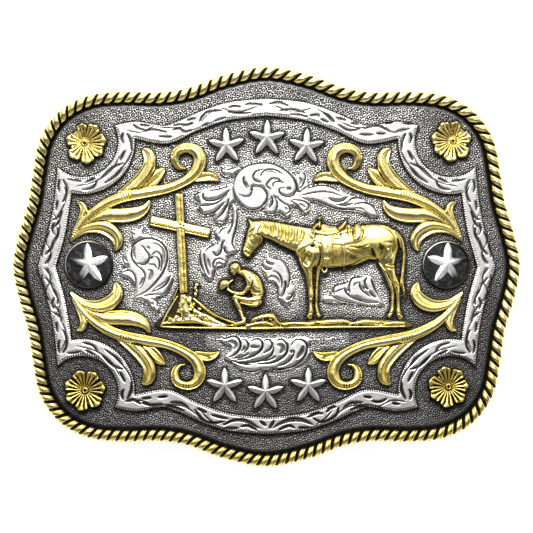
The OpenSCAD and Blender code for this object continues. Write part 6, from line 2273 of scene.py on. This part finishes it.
@dataclass
class KneelingRider:
    """A kneeling rider with bowed head, seen from the side, the hat held in front."""

    strokes: tuple[Rows, ...] = (
        ((-5.5, -0.95, 0.5, 0.85), (-4.9, -1.15, 0.6, 1), (-4.3, -1.3, 0.75, 1.2)),
        ((-1.5, -6.9, 0.75, 1.15), (-2.3, -7.35, 0.72, 1.25), (-3.6, -7.25, 0.55, 1.1),
         (-5, -6.9, 0.42, 0.95)),
        ((-4.4, -1.15, 0.7, 1.2), (-3.3, -2.1, 1.25, 1.6), (-2.35, -3.5, 1.55, 1.7),
         (-1.85, -4.9, 1.35, 1.55), (-1.7, -5.8, 1, 1.35)),
        ((-1.7, -6.3, 0.8, 1.5), (-3.2, -6.45, 0.72, 1.65), (-4.9, -6.2, 0.62, 1.5),
         (-6.2, -5.85, 0.55, 1.25)),
        ((-6.25, -6, 0.6, 1.25), (-5.75, -7.1, 0.64, 1.3), (-5.15, -8.5, 0.56, 1.2),
         (-4.7, -9.8, 0.5, 1.25), (-4.4, -10.5, 0.5, 1.3)),
        ((-8.75, -4.3, 0.42, 0.9), (-8.3, -3.5, 0.82, 1.3), (-7.7, -3.15, 0.55, 1.1)),
    )
    over: tuple[Rows, ...] = (
        ((-6.5, -2.6, 0.2, 1.1), (-7.1, -3, 0.26, 1.25), (-7.55, -3.7, 0.27, 1.25),
         (-7.3, -4.4, 0.24, 1.15)),
        ((-4.1, -1.5, 0.6, 1.6), (-3.5, -2.4, 0.8, 1.95), (-3.4, -3.5, 0.64, 1.9), (-4, -4.6, 0.54, 1.75),
         (-4.6, -5.15, 0.5, 1.6)),
        ((-4.5, -5.2, 0.5, 1.65), (-5.6, -5.2, 0.5, 1.55), (-6.7, -4.95, 0.44, 1.4),
         (-7.5, -4.5, 0.4, 1.3)),
    )
    folds: tuple[tuple[Rows, float, float], ...] = (
        (((-2.6, -2.2), (-2.7, -3.2), (-3.2, -4.4)), 0.32, 0.3),
        (((-3, -4.9), (-1.9, -5.2), (-0.8, -5)), 0.2, 0.18),
        (((-2.9, -5.4), (-1.9, -5.75), (-0.8, -5.5)), 0.22, 0.2),
        (((-2.2, -4), (-1.6, -4.4), (-1, -4.2)), 0.2, 0.16), (((-2.9, -6.85), (-2.3, -6.75)), 0.26, 0.18),
        (((-5.2, -6.95), (-3.6, -7.2), (-1.6, -7.3)), 0.2, 0.18),
        (((-3.9, -1.9), (-3.3, -2.2), (-2.9, -2.1)), 0.18, 0.14),
        (((-4, -3.6), (-3.5, -3.8), (-3, -3.7)), 0.18, 0.16), (((-4.5, -4.7), (-4.2, -5)), 0.16, 0.14),
        (((-5.3, -4.9), (-5.1, -5.4)), 0.16, 0.14), (((-6.4, -4.7), (-6.2, -5.2)), 0.16, 0.14),
        (((-5.7, -6.8), (-5.3, -7), (-5, -6.9)), 0.18, 0.14),
        (((-5.3, -8.4), (-4.9, -8.6), (-4.6, -8.5)), 0.16, 0.14),
        (((-8.7, -3.5), (-8.3, -3.2), (-7.9, -3)), 0.16, 0.12),
        (((-2, -2.4), (-1.5, -3), (-1.2, -3.8)), 0.16, 0.1), (((-6.9, -5.8), (-6.4, -6.3)), 0.16, 0.12),
    )
    boot: Rows = (
        (-4.3, -10.1, 0.5, 1.3), (-4.5, -10.75, 0.55, 1.4), (-5.3, -11, 0.5, 1.3), (-6.2, -11.2, 0.34, 1.1),
    )
    head_at: tuple[float, float] = (-6.02, -0.5)
    head_tall: float = 2.3
    head_tilt: float = 24.0
    face_line: Rows = (
        (0.05, 1), (-0.2, 0.97), (-0.36, 0.87), (-0.415, 0.76), (-0.43, 0.67), (-0.405, 0.61),
        (-0.45, 0.52), (-0.51, 0.43), (-0.475, 0.385), (-0.43, 0.37), (-0.445, 0.325), (-0.425, 0.29),
        (-0.44, 0.25), (-0.41, 0.205), (-0.43, 0.14), (-0.40, 0.05), (-0.31, 0), (-0.16, 0.04),
        (-0.02, 0.14), (0.1, 0.2), (0.3, 0.25), (0.43, 0.4), (0.46, 0.6), (0.4, 0.82), (0.24, 0.95),
    )
    mouth_at: tuple[float, float] = (-0.42, 0.288)
    mouth_d: float = 0.09
    lid_at: tuple[float, float] = (-0.32, 0.545)
    lid_d: float = 0.07
    line_w: float = 0.012
    hair_from: float = 0.74
    hair_t: float = 0.09
    strand_d: float = 0.05
    features: Rows = (
        (-.3, .5, .1, .07, -.1), (-.41, .655, .06, .035, .05), (-.2, .36, .12, .1, .05),
        (-.45, .44, .05, .07, .07), (-.32, .52, .035, .022, .09), (.05, .48, .045, .085, .1),
        (.05, .48, .02, .045, -.1), (-.36, .12, .06, .05, .05),
    )

    def _head(self, sheet: ReliefSheet) -> None:
        """Raises the head in its own frame: a plain profile on even thirds, with short hair."""
        c, s = math.cos(math.radians(self.head_tilt)), math.sin(math.radians(self.head_tilt))
        dx, dy = sheet.x - self.head_at[0], sheet.y - self.head_at[1]
        u, v = (dx * c + dy * s) / self.head_tall, (dy * c - dx * s) / self.head_tall + 0.5
        line = smooth(self.face_line, 4, closed=True)
        du, dv = line[:, 0] * self.head_tall, (line[:, 1] - 0.5) * self.head_tall
        ring = np.column_stack([self.head_at[0] + du * c - dv * s, self.head_at[1] + du * s + dv * c])
        inside = sheet.outline(ring, 1.3)
        dome = 0.62 + 0.9 * np.sqrt(rise(inside, 0.95))
        hair_line = v + 0.35 * np.clip(u + 0.12, -1, 0) + 1.1 * np.clip(u - 0.02, 0, 0.45)
        hair = rise(hair_line, 0.03, self.hair_from)
        dome += self.hair_t * hair
        for along, up, wide, tall, lift in self.features:
            dome += lift * np.exp(-((u - along) / wide) ** 2 - ((v - up) / tall) ** 2)
        mouth_off = v - self.mouth_at[1] - 0.06 * (u - self.mouth_at[0])
        lid_u, lid_v = u - self.lid_at[0], v - self.lid_at[1]
        mouth = self.mouth_d * np.exp(-((mouth_off / self.line_w) ** 2)) * (u < -0.3)
        lid = self.lid_d * np.exp(-(((lid_v + 1.2 * lid_u**2) / self.line_w) ** 2)) * (np.abs(lid_u) < 0.06)
        dome -= mouth + lid
        strands = self.strand_d * hair * np.sin((u * 0.7 + v) * 95 + 2 * np.sin(v * 21))
        sheet.height = np.where(inside > -0.1, np.maximum(sheet.height * 0.8, dome + strands), sheet.height)
        sheet.inside = np.maximum(sheet.inside, inside)
        dark = np.maximum((mouth + lid) * 6, np.clip(-strands * 9, 0, 0.5))
        sheet.stain = np.where(inside > 0, dark, sheet.stain)

    def sheet(self) -> ReliefSheet:
        """Raises the figure and cuts its folds."""
        sheet = ReliefSheet((-11.6, -13.2), (2.2, 3.4), step=0.06)
        for rows in self.strokes:
            sheet.raise_stroke(Stroke(rows), blend=0.12)
        sheet.raise_stroke(Stroke(self.boot), blend=0.1)
        for rows in self.over:
            sheet.raise_stroke(Stroke(rows), blend=0.06)
        for rows, wide, deep in self.folds:
            sheet.cut(rows, wide, deep)
        sheet.settle(0.045)
        self._head(sheet)
        return sheet

    def dress(self, finishes: Finishes, plate: FieldPlate) -> None:
        """Builds the figure and plates it."""
        sheet = self.sheet()
        plate.gather(sheet, spread=0.3)
        enrol(sheet.build("kneeling_rider"), "kneeling_figure", Slot.GOLD, finishes.gold)


# Back, studio and main


@dataclass
class Fastening:
    """The loop and the hook on the back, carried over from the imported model."""

    nodes: tuple[str, ...] = ("belt_loop", "belt_hook")

    def dress(self, finishes: Finishes) -> None:
        """Gives the two carried-over pieces their metal."""
        for piece in bpy.data.objects:
            if piece.type == "MESH" and any(piece.name.startswith(node) for node in self.nodes):
                for slot in piece.material_slots:
                    slot.material = finishes.fastening
                log.info("%s: dressed", piece.name)


@dataclass
class Studio:
    """A pale table under soft light, the camera straight above the buckle."""

    distance: float = 0.72
    frame_w: float = 104.1
    face_z: float = 0.012
    floor_size: float = 0.5
    floor_t: float = 0.01
    low_light: float = 0.09
    high_light: float = 1.6
    band_light: float = 1.6
    bounce_light: float = 0.26
    horizon_light: float = 0.9
    side_loss: float = 0.5
    paper_glow: float = 0.68
    north_low: float = 0.3

    def _camera(self) -> None:
        """Sets the camera straight above, +Y up in the picture."""
        data = bpy.data.cameras.new("straight_above")
        data.sensor_width = 36
        data.lens = data.sensor_width * self.distance / (self.frame_w * MM)
        camera = bpy.data.objects.new("straight_above", data)
        camera.location = (0, 0, self.distance + self.face_z)
        bpy.context.collection.objects.link(camera)
        bpy.context.scene.camera = camera

    def _floor(self) -> None:
        """Lays the white table with eased edges."""
        deselect_all()
        middle = (0, 0, -self.floor_t / 2)
        bpy.ops.mesh.primitive_cube_add(size=1, location=middle)
        table = added("white_table")
        pick(table, Part.FACES)
        size = (self.floor_size, self.floor_size, self.floor_t)
        bpy.ops.transform.resize(value=size, center_override=middle)
        bpy.ops.mesh.bevel(offset=0.003, segments=4)
        close_edit()
        bpy.ops.object.transform_apply(location=True)
        material, bench = blank_material("white_paper")
        colour = bench.mix(bench.ramp(bench.noise(40, 2), 0.3, 0.7), (0.96, 0.96, 0.96), (0.93, 0.93, 0.93))
        bench.surface(base_color=colour, roughness=0.9, emission_color=(1.0, 1.0, 1.0),
                      emission_strength=self.paper_glow)
        table.data.materials.append(material)

    def _world(self) -> None:
        """Lights the sky: bright to the north, dim to the south, at the sides and low in the north."""
        world = bpy.data.worlds.new("soft_room")
        world.use_nodes = True
        world.node_tree.nodes.clear()
        bench = Bench(world.node_tree)
        towards = bench.add("ShaderNodeTexCoord").outputs["Generated"]
        parts = bench.split(towards)
        north = bench.ramp(parts["Y"], -0.22, 0.215, self.low_light, self.high_light)
        band = bench.math("ADD", bench.ramp(parts["Y"], 0.45, 0.62, 0.0, self.band_light),
                          bench.ramp(parts["Y"], -0.75, -0.3, self.bounce_light, 0.0))
        band = bench.math("ADD", band, bench.ramp(parts["Z"], 0.12, 0.5, self.horizon_light, 0.0))
        side = bench.ramp(bench.math("ABSOLUTE", parts["X"]), 0.2, 0.8, 1.0, 1.0 - self.side_loss)
        low = bench.ramp(parts["Z"], 0.05, 0.6, 1.0 - self.north_low, 0.0)
        kept = bench.math("SUBTRACT", 1.0, bench.math("MULTIPLY", low, bench.ramp(parts["Y"], 0.15, 0.5)))
        strength = bench.math("MULTIPLY", bench.math("MULTIPLY", bench.math("ADD", north, band), side), kept)
        seen = bench.add("ShaderNodeLightPath").outputs["Is Camera Ray"]
        room = bench.add("ShaderNodeBackground", {"Color": (1.0, 0.995, 0.985), "Strength": strength})
        plain = bench.add("ShaderNodeBackground", {"Color": (0.95, 0.95, 0.95), "Strength": 1.0})
        both = bench.add("ShaderNodeMixShader", {0: seen, 1: room.outputs[0], 2: plain.outputs[0]})
        bench.add("ShaderNodeOutputWorld", {"Surface": both.outputs[0]})
        bpy.context.scene.world = world

    def _lamp(self, name: str, place: tuple[float, float, float], size: float, power: float) -> None:
        """Hangs a square soft light that looks at the buckle."""
        data = bpy.data.lights.new(name, "AREA")
        data.size, data.energy = size, power
        lamp = bpy.data.objects.new(name, data)
        lamp.location = place
        tilt, turn = math.atan2(-math.hypot(*place[:2]), place[2]), math.atan2(place[0], -place[1]) + math.pi
        lamp.rotation_euler = (tilt, 0, turn)
        bpy.context.collection.objects.link(lamp)

    def set_up(self) -> None:
        """Sets up table, light and camera."""
        self._floor()
        self._world()
        self._lamp("north_softbox", (-0.05, 0.42, 0.75), 0.5, 5.0)
        self._camera()
        view = bpy.context.scene.view_settings
        view.view_transform, view.look, view.exposure, view.gamma = "Standard", "None", 0.0, 1.0


STARS = (
    Star("star_top_left", -7.8, 23.55, 2, 3.55, 0.34, 0.17),
    Star("star_top_middle", 0.1, 25.0, -1, 3.55, 0.34, 0.17),
    Star("star_top_right", 7.75, 23.4, -3, 3.5, 0.34, 0.17),
    Star("star_bottom_left", -8.15, -23.35, 0, 3.65, 0.3, 0.17),
    Star("star_bottom_middle", -0.2, -24.6, 0, 3.65, 0.3, 0.17),
    Star("star_bottom_right", 8.15, -23.3, 0, 3.6, 0.3, 0.17),
    Star("medallion_star_left", -34.75, 0.4, 3, 4.2, 0.36, 0.19, 0.42, 0.66, 0.7, 0.92, (0.0, 0.2)),
    Star("medallion_star_right", 35.35, 0.5, -1, 4.25, 0.36, 0.19, 0.42, 0.66, 0.7, 0.92, (0.1, 0.2)),
)


def main() -> None:
    """Builds the visual model and the studio."""
    logging.basicConfig(level=logging.INFO, format="%(message)s")
    finishes = Finishes()
    plate = FieldPlate()
    RopeEdge().dress(finishes)
    RibbonBorder().dress(finishes, plate)
    Medallion("left", -34.75, 0.35).dress(finishes, plate)
    Medallion("right", 35.05, 0.3).dress(finishes, plate)
    for star in STARS:
        star.dress(finishes, plate)
    for flower in FLOWERS:
        flower.dress(finishes, plate)
    LeafScroll().dress(finishes, plate)
    for panel in LEAF_PANELS:
        panel.dress(finishes, plate)
    TwoBeamCross().dress(finishes, plate)
    StonyGround().dress(finishes, plate)
    horse = StandingHorse().dress(finishes, plate)
    StockSaddle().dress(finishes, plate, horse)
    KneelingRider().dress(finishes, plate)
    plate.dress(finishes)
    Fastening().dress(finishes)
    Studio().set_up()


if __name__ == "__main__":
    main()
